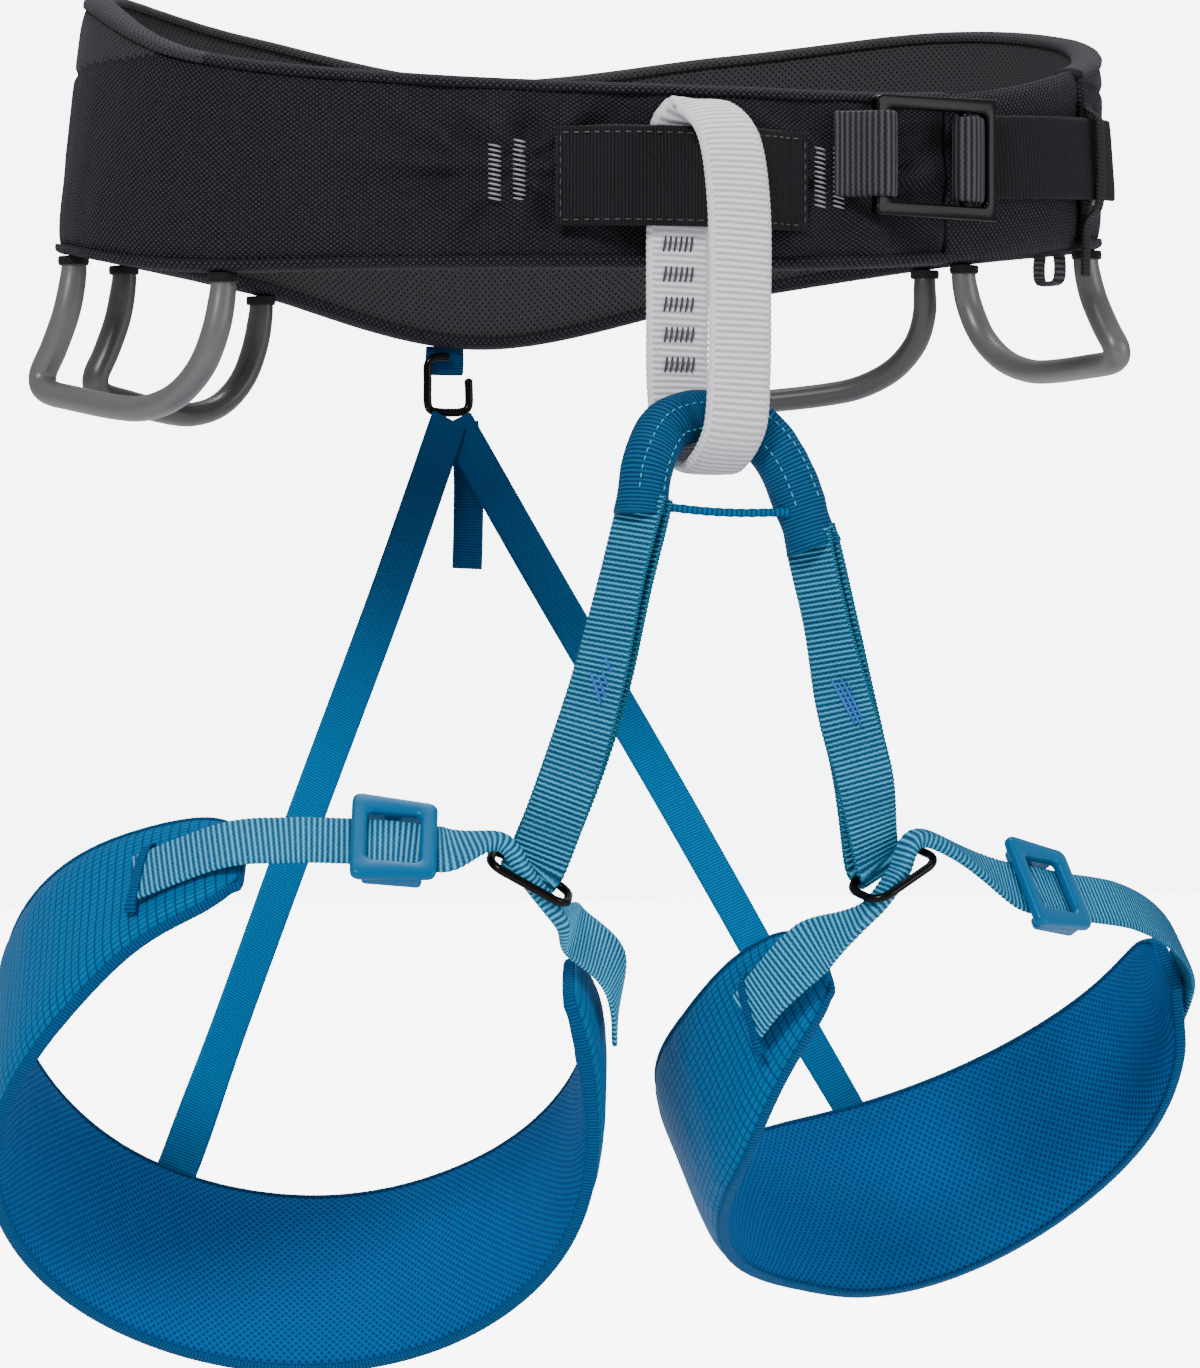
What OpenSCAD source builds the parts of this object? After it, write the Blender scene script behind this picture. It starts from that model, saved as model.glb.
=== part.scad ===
// Climbing harness: a padded waist belt with four gear loops, a belay loop, and two padded leg
// loops that hang from a bridge at the front and from two elastic risers at the back.
// The wearer faces -Y, +Z is up, and +X is the wearer's left. The origin is the middle of the
// waist webbing's height at the front, in the wearer's middle plane.

/* [Waist belt] */
// Half width of the belt's outside
belt_a = 146; // [143:0.5:148]
// Half depth of the belt's outside
belt_b = 101; // [100:0.5:102]
// Width of the waist webbing
waist_webbing_w = 22; // [20:1:24]

/* [Gear loops] */
// Diameter of the moulded gear loops
gear_d = 7.2; // [6:0.2:8]
// Depth of the gear loops below their pivots
gear_drop = 30; // [26:1:33]

/* [Belay loop and bridge] */
// Width of the belay loop's webbing
belay_w = 17; // [15:0.5:18]
// Thickness of the belay loop's webbing
belay_t = 3.5; // [2.5:0.25:3.75]
// Diameter of the bridge's sleeve
sleeve_d = 14; // [12:0.2:14.2]
// Width of the bridge webbing and leg webbing
leg_webbing_w = 15; // [13:0.5:15.5]
// Wire diameter of the two rings
ring_wire = 2.2; // [1.6:0.1:2.4]

/* [Leg loops] */
// Thickness of a leg loop's outer fabric, foam and liner together
pad_t = 5.4; // [5:0.1:6]
// Width of the elastic risers
riser_w = 11; // [9:0.5:12]

/* [Hidden] */

black = [0.07, 0.065, 0.07];
black_web = [0.16, 0.15, 0.16];
grey_thread = [0.45, 0.42, 0.46];
metal = [0.05, 0.05, 0.055];
loop_grey = [0.35, 0.34, 0.35];
web_white = [0.85, 0.84, 0.86];
blue = [0.06, 0.45, 0.7];
blue_dark = [0.02, 0.3, 0.5];
blue_liner = [0.0, 0.36, 0.64];

gap = 0.25;           // between two layers of one piece of sewing
shell_t = 1.2;        // outer fabric of the belt
webbing_t = 1.5;      // waist, bridge and leg webbing
belt_t = 8;           // belt, outer face to inner face
binding_h = 1.8;      // tape along the belt's edges
belt_c = [9, 4];      // the belt ellipse's centre
belt_from = 57.5;     // the padded belt runs from here, behind the wing end,
belt_to = 388.7;      // round the back to here, behind the buckle
// Heights of the belt's edges every 30 degrees, from the front (0) to the back (180),
// on the wearer's left side and on the right side
top_z = [[23, 25, 37, 50, 56, 51, 43], [23, 25, 33, 50, 56, 51, 43]];
bottom_z = [[-24, -20, -12.5, -10, -11, -19.5, -34], [-24, -24.5, -24, -17, -14.5, -20, -34]];

// ---------------------------------------------------------------- vectors and sweeps
function unit(v) = v / norm(v);
function mean(p) = [for (i = [0 : len(p[0]) - 1]) [for (q = p) q[i]] * [for (q = p) 1]] / len(p);
function spline(a, b, c, d, t) =
    0.5 * ((2 * b) + (c - a) * t + (2 * a - 5 * b + 4 * c - d) * t * t
        + (3 * b - a - 3 * c + d) * t * t * t);

// A smooth open curve through rows of numbers, with some steps between each pair of rows
function curve(p, steps) = let (last = len(p) - 1) [
    for (i = [0 : last - 1], k = [0 : steps - 1])
        spline(p[max(i - 1, 0)], p[i], p[i + 1], p[min(i + 2, last)], k / steps),
    p[last]];
function closed_curve(p, steps) = let (n = len(p)) [
    for (i = [0 : n - 1], k = [0 : steps - 1])
        spline(p[(i + n - 1) % n], p[i], p[(i + 1) % n], p[(i + 2) % n], k / steps)];

// A value given every 30 degrees over each half of the belt, at any angle
function around(sides, angle) =
    let (u = angle % 360, v = sides[u > 180 ? 1 : 0], a = (u > 180 ? 360 - u : u) / 30,
        i = min(floor(a), 5))
    spline(v[abs(i - 1)], v[i], v[i + 1], v[i == 5 ? 5 : i + 2], a - i);

// Joins rings of points, each with the same number of points, into one solid
module loft(rings, closed = false) {
    k = len(rings[0]);
    n = len(rings);
    spans = closed ? n : n - 1;
    turn = cross(rings[0][1] - rings[0][0], rings[0][2] - rings[0][1]);
    flip = turn * (mean(rings[1]) - mean(rings[0])) < 0;
    walls = [for (i = [0 : spans - 1], j = [0 : k - 1])
        let (a = i * k + j, b = i * k + (j + 1) % k,
            c = ((i + 1) % n) * k + (j + 1) % k, d = ((i + 1) % n) * k + j)
        each [[a, b, c], [a, c, d]]];
    caps = closed ? [] : [for (j = [1 : k - 2]) each
        [[0, j + 1, j], [(n - 1) * k, (n - 1) * k + j, (n - 1) * k + j + 1]]];
    faces = concat(walls, caps);
    polyhedron([for (r = rings) each r], [for (f = faces) flip ? f : [f[0], f[2], f[1]]]);
}

// The rings of a flat ribbon along rows of [x, y, z, then the direction of its width, then
// perhaps how far it is bunched up, from 0 to 1]
function ribbon_rings(rows, width, t, closed = false) = let (n = len(rows)) [
    for (i = [0 : n - 1])
        let (p = [for (m = [0 : 2]) rows[i][m]], w0 = [for (m = [3 : 5]) rows[i][m]],
            before = rows[closed ? (i + n - 1) % n : max(i - 1, 0)],
            after = rows[closed ? (i + 1) % n : min(i + 1, n - 1)],
            along = unit([for (m = [0 : 2]) after[m] - before[m]]),
            bunch = len(rows[i]) > 6 ? max(0, min(1, rows[i][6])) : 0,
            w = unit(w0 - along * (along * w0)) * width / 2 * (1 - 0.66 * bunch),
            up = cross(along, unit(w)) * t / 2 * (1 + 1.8 * bunch))
        [p + w + up, p - w + up, p - w - up, p + w - up]];
module ribbon(rows, width, t) { loft(ribbon_rings(rows, width, t)); }
module closed_ribbon(rows, width, t) { loft(ribbon_rings(rows, width, t, true), true); }

// A round tube along points, with its rings turned the same way about the direction ref
module tube(path, d, ref, sides = 10) {
    n = len(path);
    loft([for (i = [0 : n - 1])
        let (along = unit(path[min(i + 1, n - 1)] - path[max(i - 1, 0)]),
            u = unit(cross(along, ref)), v = cross(along, u))
        [for (j = [0 : sides - 1]) path[i] + d / 2 * (u * cos(360 * j / sides)
            + v * sin(360 * j / sides))]]);
}

// ---------------------------------------------------------------- waist belt
// A point of the belt's plan at an angle from the front, some distance outside its face
function belt_at(angle, off) =
    [belt_c[0] + belt_a * sin(angle), belt_c[1] - belt_b * cos(angle), 0]
    + off * unit([belt_b * sin(angle), -belt_a * cos(angle), 0]);
function belt_facing(angle) = atan2(belt_b * sin(angle), belt_a * cos(angle));
module on_belt(angle, off = 0) {
    translate(belt_at(angle, off)) rotate([0, 0, belt_facing(angle)]) children();
}

// The belt leans in towards its top on the wearer's right side
lean_k = 0.12;
function belt_point(angle, off, z) =
    belt_at(angle, off - lean_k * (z + 20) * pow(max(0, -sin(angle)), 2)) + [0, 0, z];

// A layer of the belt between two distances from its face, set in from both edges
module belt_layer(outer, inner, inset, from = belt_from, to = belt_to, steps = 66) {
    loft([for (i = [0 : steps])
        let (a = from + (to - from) * i / steps,
            low = around(bottom_z, a) + inset, high = around(top_z, a) - inset)
        [belt_point(a, outer, low), belt_point(a, outer, high),
            belt_point(a, inner, high), belt_point(a, inner, low)]]);
}
module edge_tape(edge, side) {
    steps = 66;
    loft([for (i = [0 : steps])
        let (a = belt_from + (belt_to - belt_from) * i / steps,
            z = around(edge, a), other = z - side * binding_h)
        [belt_point(a, 0, z), belt_point(a, 0, other),
            belt_point(a, -belt_t, other), belt_point(a, -belt_t, z)]]);
}

module belt_shell() { color(black) belt_layer(0, -shell_t, binding_h + gap); }
module waist_webbing() {
    steps = 60;
    color(black_web) loft([for (i = [0 : steps])
        let (a = belt_from + 1 + (belt_to - belt_from - 2) * i / steps,
            outer = -shell_t - gap, inner = outer - webbing_t, high = waist_webbing_w / 2,
            low = max(-high, around(bottom_z, a) + binding_h + gap))
        [belt_point(a, outer, low), belt_point(a, outer, high),
            belt_point(a, inner, high), belt_point(a, inner, low)]]);
}
foam_out = -shell_t - webbing_t - 2 * gap;
liner_t = 1.4;
module belt_foam() { color(black_web) belt_layer(foam_out, gap + liner_t - belt_t, binding_h + gap); }
module belt_liner() { color(black) belt_layer(liner_t - belt_t, -belt_t, binding_h + gap); }
module top_binding() { color(black) edge_tape(top_z, 1); }
module bottom_binding() { color(black) edge_tape(bottom_z, -1); }

// The padded flap behind the buckle, between the two ends of the belt
module belt_tongue() { color(black) belt_layer(-1, -7, 0.6, belt_to - 360 + 0.4, belt_from - 0.4, 8); }

// The strap lies on this arc, a little outside the belt
strap_c = [31.8, 49.1];
strap_r = 144;        // to the middle of its thickness
strap_z = 6.4;        // the strap's middle height
strap_t = 1.6;
strap_low = strap_z - waist_webbing_w / 2;
strap_high = strap_z + waist_webbing_w / 2;
strap_rise = 4.5;      // degrees by which the strap climbs towards the wing's end
strap_lift = 4.8;      // its height gained there
module arc_strip(r, t, from, to, z0, z1) {
    start = [71, 0, strap_z];
    translate(start) rotate([0, -strap_rise, 0]) translate(-start)
        translate([strap_c[0], strap_c[1], z0]) rotate([0, 0, from - 90])
            rotate_extrude(angle = to - from, $fn = 120)
                translate([r - t / 2, 0]) square([t, z1 - z0]);
}

// Folded tape down the wing's end, which also keeps the strap's tail
module wing_end_binding() {
    color(black) on_belt(belt_from + 0.2) difference() {
        translate([-2.6, -5.4, -19.5]) cube([6, 5.2, 46]);
        translate([-3, -4.3, strap_low + strap_lift - 1])
            cube([7, 3.6, waist_webbing_w + 2]);
    }
}

// ---------------------------------------------------------------- tie-in point
patch_z = [-14, 11.5];  // lower and upper edge of the sleeve
function stand_off(inner) = let (y = inner) [
    for (p = [[-32, 1], [-27, 1.6], [-21, 4.6], [-14, 6.4], [1, 6.7], [16, 6.3], [23, 4.4],
        [29, 1.4], [34, 1]])
        let (angle = asin((p[0] - belt_c[0]) / belt_a), q = belt_at(angle, p[1] + y))
        [q[0], q[1], (patch_z[0] + patch_z[1]) / 2, 0, 0, 1]];
module tie_in_loop() {
    color(black_web) ribbon(curve(stand_off(0), 3), patch_z[1] - patch_z[0] - 5, 1.2);
}
module tie_in_sleeve() {
    color(black) ribbon(curve(stand_off(1.5), 3), patch_z[1] - patch_z[0], 1.2);
}

// Four columns of zigzag stitching through the belt
module belt_bar_tacks() {
    color(grey_thread) for (x = [-47, -41, 39, 44.4])
        on_belt(asin((x - belt_c[0]) / belt_a), 0.3) translate([-1.1, -0.35, -8]) cube([2.2, 0.5, 16]);
}

// ---------------------------------------------------------------- waist buckle
buckle_angle = 25;     // place of the buckle's middle round the belt
buckle_off = 6.6;      // from the belt's face to the middle of the buckle's thickness
buckle_t = 3;
bar_r = 1.8;
anchor_x = -19.3;      // the bar that the anchor webbing holds, from the buckle's middle
turn_x = 9;            // the bar that the strap turns round
buckle_z = 6.4;
module on_buckle() {
    on_belt(buckle_angle, buckle_off) translate([0, 0, buckle_z]) children();
}
module wing_outline() {
    // wide above and below, narrower at the webbing
    polygon([[-21, 12.8], [-21.5, 14.5], [-10, 16.6], [0, 17.6], [15, 17.8], [18.6, 15], [17.9, 11],
        [17.9, -11], [18.6, -15], [15, -17.6], [0, -17.2], [-21.5, -15.8], [-21, -12.8]]);
}
module waist_buckle() {
    window_h = waist_webbing_w + 2;
    color(metal) on_buckle() {
        rotate([90, 0, 0]) translate([0, 0, -buckle_t / 2]) linear_extrude(buckle_t)
            difference() {
                wing_outline();
                translate([-25, -window_h / 2]) square([40.3, window_h]);
            }
        for (x = [anchor_x, turn_x]) translate([x, 0, -window_h / 2 - 0.5])
            cylinder(r = bar_r, h = window_h + 1, $fn = 40);
    }
}
// Webbing sewn round a bar: a ring and two tails that meet the belt, seen along the bar
module wrapped(x, side, tail) {
    ring_out = bar_r + 0.35 + 1.3;
    translate([x, 0, -waist_webbing_w / 2]) linear_extrude(waist_webbing_w) difference() {
        union() {
            circle(ring_out, $fn = 48);
            polygon([[0, -ring_out], [side * tail, buckle_off - 2.4 - 0.35],
                [side * tail, buckle_off - 0.35], [0, ring_out]]);
        }
        circle(bar_r + 0.35, $fn = 48);
        polygon([[0, -bar_r - 0.35], [side * (tail - 6), buckle_off - 1.6],
            [0, bar_r + 0.35]]);
    }
}
module buckle_webbing() {
    color(black_web) on_buckle() wrapped(anchor_x, -1, 12);
}
// The webbing's turn round the inner bar, short of the strap behind
module strap_turn() {
    color(black_web) on_buckle() translate([turn_x, 0, -waist_webbing_w / 2])
        linear_extrude(waist_webbing_w) difference() {
            union() {
                circle(bar_r + 1.4, $fn = 48);
                translate([0, -bar_r - 1.4]) square([4.5, 1.3]);
                translate([0, bar_r + 0.1]) square([4.5, 1.3]);
            }
            circle(bar_r + 0.1, $fn = 48);
        }
}
module waist_strap() {
    color(black_web) arc_strip(strap_r, strap_t, 16, 52, strap_low, strap_high);
}

// ---------------------------------------------------------------- gear loops
// Each row: the angles of the sharply bent end and of the rounded end round the belt, how far
// the lower run stands out, and how much deeper than gear_drop it hangs
gear_front_right = [269, 305, 6, 3];
gear_rear_right = [233, 208, 6, 2];
gear_front_left = [72, 115.6, 6, -3];
gear_rear_left = [147, 122.4, 6, -4];
// The loop's outline: share of the way between its ends, and share of its depth
gear_outline = [[0, 0], [-0.01, 0.3], [-0.06, 0.6], [-0.11, 0.83], [-0.06, 0.95], [0.12, 0.98],
    [0.43, 1], [0.62, 0.97], [0.8, 0.84], [0.93, 0.6], [0.99, 0.3], [1, 0]];
gear_in = -4;          // the pivots lie this far inside the belt's face
pivot_drop = gear_d / 2 + 1.4;
function gear_end(angle) =
    belt_at(angle, gear_in) + [0, 0, around(bottom_z, angle) - pivot_drop];
function gear_out(g) = let (mid = (g[0] + g[1]) / 2) belt_at(mid, 1) - belt_at(mid, 0);
function gear_path(g) =
    let (p = gear_end(g[0]), q = gear_end(g[1]), drop = gear_drop + g[3],
        out = gear_out(g) * g[2])
    [for (r = gear_outline) p + (q - p) * r[0] + out * r[1] - [0, 0, drop * r[1]]];
module gear_loop(g, tint) {
    color(tint) tube(curve(gear_path(g), 2), gear_d, gear_out(g), 10);
}
module gear_loop_front_right() { gear_loop(gear_front_right, loop_grey); }
module gear_loop_rear_right() { gear_loop(gear_rear_right, loop_grey); }
module gear_loop_front_left() { gear_loop(gear_front_left, loop_grey); }
module gear_loop_rear_left() { gear_loop(gear_rear_left, loop_grey); }
// Fabric collars round the ends of the gear loops
module gear_loop_tabs() {
    wall = 1;
    color(black) for (g = [gear_front_right, gear_rear_right, gear_front_left, gear_rear_left],
        k = [0, 1]) {
        angle = g[k];
        h = pivot_drop - 1.6;
        bore = gear_d + 1.3;
        translate(gear_end(angle)) difference() {
            cylinder(d = bore + 2 * wall, h = h, $fn = 40);
            translate([0, 0, -1]) cylinder(d = bore, h = h + 2, $fn = 40);
        }
    }
}
// A flat webbing slot under the belt for an ice clipper
module ice_clipper_slot() {
    angle = 96;
    color(black_web) on_belt(angle, -4) translate([-7, -1, around(bottom_z, angle) - 8.9])
        difference() {
            cube([14, 2, 8.6]);
            translate([1.6, -1, 1.6]) cube([10.8, 4, 4.6]);
        }
}

// ---------------------------------------------------------------- back of the belt
haul_y = 105;
haul_z = -2;
module haul_loop_anchor() {
    color(black_web) translate([belt_c[0] - 8, haul_y + 0.4, haul_z - 1]) difference() {
        cube([16, 4.2, 12]);
        translate([-1, 0, 3.2]) translate([0, 2.1, 0]) rotate([0, 90, 0])
            cylinder(r = 1.5, h = 18, $fn = 40);
    }
}
module haul_loop() {
    x = belt_c[0];
    y = haul_y + 2.5;
    z = haul_z + 2.2;
    run = [[x - 10.5, y, z], [x - 11.5, y + 1.2, z - 14], [x - 8.5, y + 1.8, z - 27],
        [x, y + 2, z - 31], [x + 8.5, y + 1.8, z - 27], [x + 11.5, y + 1.2, z - 14],
        [x + 10.5, y, z]];
    color(black_web) {
        tube(curve(run, 3), 3.4, [0, 1, 0.1], 8);
        translate([x - 11.5, y, z]) rotate([0, 90, 0]) cylinder(r = 1.3, h = 23, $fn = 40);
    }
}

elastic_y = 102;       // of the elastic loop under the belt's back
module rear_elastic_loop() {
    loop_z = bottom_z[0][6] - 0.4;
    color(blue_dark) translate([-5.5, elastic_y - 1, loop_z - 7.2]) difference() {
        cube([11, 2, 7.2]);
        translate([-1, 0.7, 1]) cube([13, 0.6, 4]);
    }
}

// ---------------------------------------------------------------- belay loop
belay_rows = [[2.5, -108, 15.9], [-0.5, -102.6, 14.1], [-0.8, -99.8, 9], [-1.2, -99.5, -4],
    [-1.5, -99.7, -18], [-2, -101, -35], [-2.5, -102.5, -54], [-2, -106.6, -68],
    [0.4, -118, -75.4], [2.3, -130.2, -67.5], [3.2, -132, -54], [3.8, -131, -34],
    [5, -127, -10], [5, -119.5, 8]];
function with_width(rows, w) = [for (r = rows) concat(r, w)];
module belay_loop() {
    color(web_white) closed_ribbon(closed_curve(with_width(belay_rows, [1, 0.04, 0]), 4),
        belay_w, belay_t);
}
module belay_loop_tacks() {
    color(black_web) for (i = [0 : 4])
        translate([-6 - 0.15 * i, -103 - 0.6 * i, -22.2 - 7.7 * i]) rotate([-4.8, 0, 2.3])
            cube([8.4, 0.7, 4]);
}

// ---------------------------------------------------------------- bridge
sleeve_path = [[-20.5, -126, -88], [-18.5, -124.5, -76], [-13, -121, -66.6], [-6, -118, -63.2],
    [0, -117.2, -62.8], [7, -117.4, -63.3], [14, -119, -67.2], [20, -122, -77],
    [26, -125, -96]];
module bridge_sleeve() { color(blue) tube(curve(sleeve_path, 3), sleeve_d, [0, 1, 0], 12); }
cord_y = -127;
module bridge_cord() {
    ends = [[-12.7, cord_y, -86], [16.2, cord_y, -87]];
    color(blue_dark) {
        tube(curve([ends[0], [-5, cord_y - 0.5, -86.8], [6, cord_y - 0.6, -87.2], ends[1]], 3),
            2.5, [0, 1, 0], 8);
    }
}

// The rings: middle, long direction and short direction
ring_l = 21.8;         // between the middles of the short wires
ring_s = 12;           // between the middles of the long wires
function square_to(v, along) = unit(v - along * (along * v));
function ring_axes(m) = let (e1 = unit([-m * 0.85, -0.2, -0.48]),
    e2 = square_to([-m * 0.25, 0.8, 0.3], e1)) [e1, e2, cross(e1, e2)];
ring_right_at = [-48.5, -122, -178];
ring_left_at = [48.5, -122, -178];
module ring(at, axes) {
    corner = 4.2;
    l = ring_l / 2;
    s = ring_s / 2;
    outline = [for (q = [[1, 1, 0], [-1, 1, 90], [-1, -1, 180], [1, -1, 270]], a = [0 : 30 : 90])
        [q[0] * (l - corner) + corner * cos(q[2] + a), q[1] * (s - corner) + corner * sin(q[2] + a)]];
    rings = [for (i = [0 : len(outline) - 1])
        let (p = outline[i], n = len(outline), before = outline[(i + n - 1) % n],
            after = outline[(i + 1) % n],
            d = unit([after[1] - before[1], before[0] - after[0]]),
            c = at + axes[0] * p[0] + axes[1] * p[1], o = axes[0] * d[0] + axes[1] * d[1])
        [for (a = [0 : 45 : 315]) c + ring_wire / 2 * (o * cos(a) + axes[2] * sin(a))]];
    loft(rings, true);
}
module ring_right() { color(metal) ring(ring_right_at, ring_axes(-1)); }
module ring_left() { color(metal) ring(ring_left_at, ring_axes(1)); }

// Bridge webbing from the sleeve's end, round the ring's upper wire and back up
// The direction square to a strap's face, on the same side as another direction
function facing(w, along, side) = let (n = unit(cross(w, along))) n * (n * side > 0 ? 1 : -1);
module bridge_strap(top, mids, at, axes) {
    e2 = axes[1];
    wire = at + e2 * ring_s / 2;
    clear = ring_wire / 2 + 0.35 + webbing_t / 2;
    down = square_to(wire - top, axes[0]);
    side = cross(axes[0], down) * (cross(axes[0], down) * e2 > 0 ? 1 : -1);
    w = axes[0] * sign(axes[0][0]);
    top_w = [0.53, -0.85, 0];
    widths = [for (k = [0 : 2]) top_w * (1 - k / 3) + w * k / 3];
    apart = [for (v = widths) 1.7 * facing(v, down, side)];
    front = [for (k = [0 : 2]) concat(mids[k] - apart[k], widths[k])];
    back = [for (k = [2 : -1 : 0]) concat(mids[k] + apart[k], widths[k])];
    rows = concat(
        [concat(top - apart[0], top_w)], front,
        [concat(wire - side * clear - down * 4.5, w), concat(wire - side * clear, w),
            concat(wire + (down - side) * clear * 0.75, w), concat(wire + down * clear, w),
            concat(wire + (down + side) * clear * 0.75, w), concat(wire + side * clear, w),
            concat(wire + side * clear - down * 4.5, w)],
        back, [concat(top + apart[0], top_w)]);
    ribbon(curve(rows, 3), leg_webbing_w, webbing_t);
}
strap_right_mids = [[-25, -125.8, -106], [-31, -125, -130], [-38, -123.5, -152]];
strap_left_mids = [[30.5, -125, -115], [34.5, -124.5, -134], [40, -123, -154]];
module bridge_strap_right() {
    color(blue) bridge_strap([-20.8, -126, -89.7], strap_right_mids, ring_right_at, ring_axes(-1));
}
module bridge_strap_left() {
    color(blue) bridge_strap([26.3, -125, -97.8], strap_left_mids, ring_left_at, ring_axes(1));
}

// ---------------------------------------------------------------- risers
hook_y = 98.5;
module riser_hook() {
    wire = 2.4;
    color(metal) translate([0, hook_y, -45]) rotate([90, 0, 0]) {
        // a bar on one side, a curled tip on the other, open above
        translate([-7.2, -6, -wire / 2]) cube([wire, 13, wire]);
        translate([-7.2, -6 - wire + 0.01, -wire / 2]) cube([14.4, wire, wire]);
        translate([4.8, -6, -wire / 2]) cube([wire, 10, wire]);
        translate([-7.2, 7, -wire / 2]) cube([8, wire, wire]);
    }
}
riser_t = 1.2;
riser_top = [0, 96.6, -54.6];
foot_right = [-102, 12.5, -257];
foot_left = [92, 18, -249];
function riser_rows(foot, side) = [
    concat(riser_top + [side * 1.2, -1.4 + side * 1.3, 0], [0.93, 0, side * 0.35]),
    concat(riser_top * 0.75 + foot * 0.25 + [0, -1.5 + side * 1.2, 1], [0.93, 0, side * 0.35]),
    concat(riser_top * 0.45 + foot * 0.55 + [0, -1, 1], [0.93, 0.1, side * 0.35]),
    concat(riser_top * 0.15 + foot * 0.85, [0.93, 0.2, side * 0.3]),
    concat(foot, [0.95, side * 0.3, side * 0.2])];
module riser_right() { color(blue_dark) ribbon(curve(riser_rows(foot_right, -1), 3), riser_w, riser_t); }
module riser_left() { color(blue_dark) ribbon(curve(riser_rows(foot_left, 1), 3), riser_w, riser_t); }
module riser_tail() {
    rows = [[5, 99.8, -55], [6.5, 100.2, -68], [6.5, 100, -82], [6, 99.6, -97]];
    color(blue_dark) ribbon(curve(with_width(rows, [1, 0, 0]), 3), 9, 2);
}

// ---------------------------------------------------------------- leg loops
// A leg loop lies round a middle, in a plane that slopes down to the back.
// Its axes: across, downhill and square to the plane.
function leg_axes(m, slope) = [[0.9455, m * 0.3256, 0],
    [-m * 0.3256 * cos(slope), 0.9455 * cos(slope), -sin(slope)],
    [-m * 0.3256 * sin(slope), 0.9455 * sin(slope), cos(slope)]];
leg_right = [[-90, -62, -230], leg_axes(-1, 43)];
leg_left = [[85, -62, -228], leg_axes(1, 34)];
function leg_at(leg, across, front, up) =
    leg[0] + leg[1][0] * across - leg[1][1] * front + leg[1][2] * up;

// Rows of a pad: angle from the front, radius of its face, lower edge, upper edge
pad_right = [[-9, 79.5, 0, 16], [-16, 79.5, -7, 21], [-30, 79, -13, 24], [-50, 79, -25, 27],
    [-75, 79, -32, 28], [-110, 79.5, -34, 26], [-145, 80, -35, 22], [-180, 79.5, -36, 20],
    [-215, 77.5, -35, 20], [-245, 77, -30, 20], [-265, 77, -23, 18], [-280, 77.5, -15, 15],
    [-292, 79, -9, 12], [-297, 79.5, -4, 8]];
pad_left = [[66, 74, 2, 14], [70, 73.5, -4, 18], [78, 73.5, -14, 20], [97, 73.5, -24, 20.5],
    [124, 73.5, -31, 21], [150, 73.5, -34.5, 21], [172, 73.5, -34, 20], [192, 73.5, -30, 17],
    [215, 73.5, -28, 19], [245, 73.5, -26, 20], [264, 73.5, -23, 20], [284, 73.5, -12, 22],
    [296, 73.5, -4, 20], [301, 73.5, 2, 13]];
module pad_layer(leg, rows, outer, inner, inset) {
    path = curve(rows, 4);
    loft([for (r = path)
        let (s = sin(r[0]), c = cos(r[0]), ro = r[1] + outer, ri = r[1] + inner,
            lo = r[2] + inset, hi = r[3] - inset)
        [leg_at(leg, s * ro, c * ro, lo), leg_at(leg, s * ro, c * ro, hi),
            leg_at(leg, s * ri, c * ri, hi), leg_at(leg, s * ri, c * ri, lo)]]);
}
skin_t = 0.9;
module leg_shell(leg, rows) { color(blue) pad_layer(leg, rows, 0, -skin_t, 0); }
module leg_foam(leg, rows) {
    color(blue_dark) pad_layer(leg, rows, -skin_t - gap, skin_t + gap - pad_t, 0.8);
}
module leg_liner(leg, rows) { color(blue_liner) pad_layer(leg, rows, skin_t - pad_t, -pad_t, 0); }
module leg_shell_right() { leg_shell(leg_right, pad_right); }
module leg_foam_right() { leg_foam(leg_right, pad_right); }
module leg_liner_right() { leg_liner(leg_right, pad_right); }
module leg_shell_left() { leg_shell(leg_left, pad_left); }
module leg_foam_left() { leg_foam(leg_left, pad_left); }
module leg_liner_left() { leg_liner(leg_left, pad_left); }

// Rows of a strap: across, front and up in the leg loop's axes, then the width's direction there
strap_right_rows = [
    [-56, 59.5, 0, 0, 0, 1], [-38.5, 72.2, 4, 0, 0, 1], [-17, 80.2, 7.5, 0, 0, 1],
    [-1, 80, 9.5, 0, 0, 1], [12, 79.2, 10, 0, 0, 1], [25, 78, 10.2, 0, 0, 1],
    [38, 76, 10, 0, 0, 1]];
strap_right_end = [
    [70, 47, 8, 0.4, -0.2, 0.9], [79.8, 32, 8, 0.3, 0, 0.9],
    [81.4, 17, 3.5, 0, 0, 1]];
strap_left_rows = [
    [73.5, 15, 2, 0, 0, 1], [67, 33, 6, 0, 0, 1], [48, 49, 7, 0, 0, 1], [26.6, 59.3, 8, 0, 0, 1],
    [6, 62.8, 9.2, 0, 0, 1], [-6, 65, 10, 0, 0, 1], [-18, 67, 11, 0, 0, 1]];
strap_left_end = [
    [-69, 43, 8.5, -0.2, 0, 1], [-74.5, 29.8, 5.5, 0, 0, 1],
    [-76.5, 19, 3, 0, 0, 1]];
function strap_row(leg, r) = concat(leg_at(leg, r[0], r[1], r[2]),
    leg[1][0] * r[3] - leg[1][1] * r[4] + leg[1][2] * r[5], 0);
module leg_strap(leg, before, after, at, axes) {
    // bunched through the ring, from its front on one side to its back on the other
    front = axes[2] * (axes[2][2] > 0 ? 1 : -1);
    l = ring_l / 2;
    rows = concat([for (r = before) strap_row(leg, r)],
        [for (k = [-1, 0, 1]) concat(at + axes[0] * k * l - front * k * 4.8
            - axes[1] * (k == 0 ? 1.5 : 1), axes[1], 1)],
        [for (r = after) strap_row(leg, r)]);
    ribbon(curve(rows, 4), leg_webbing_w, webbing_t);
}
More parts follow.
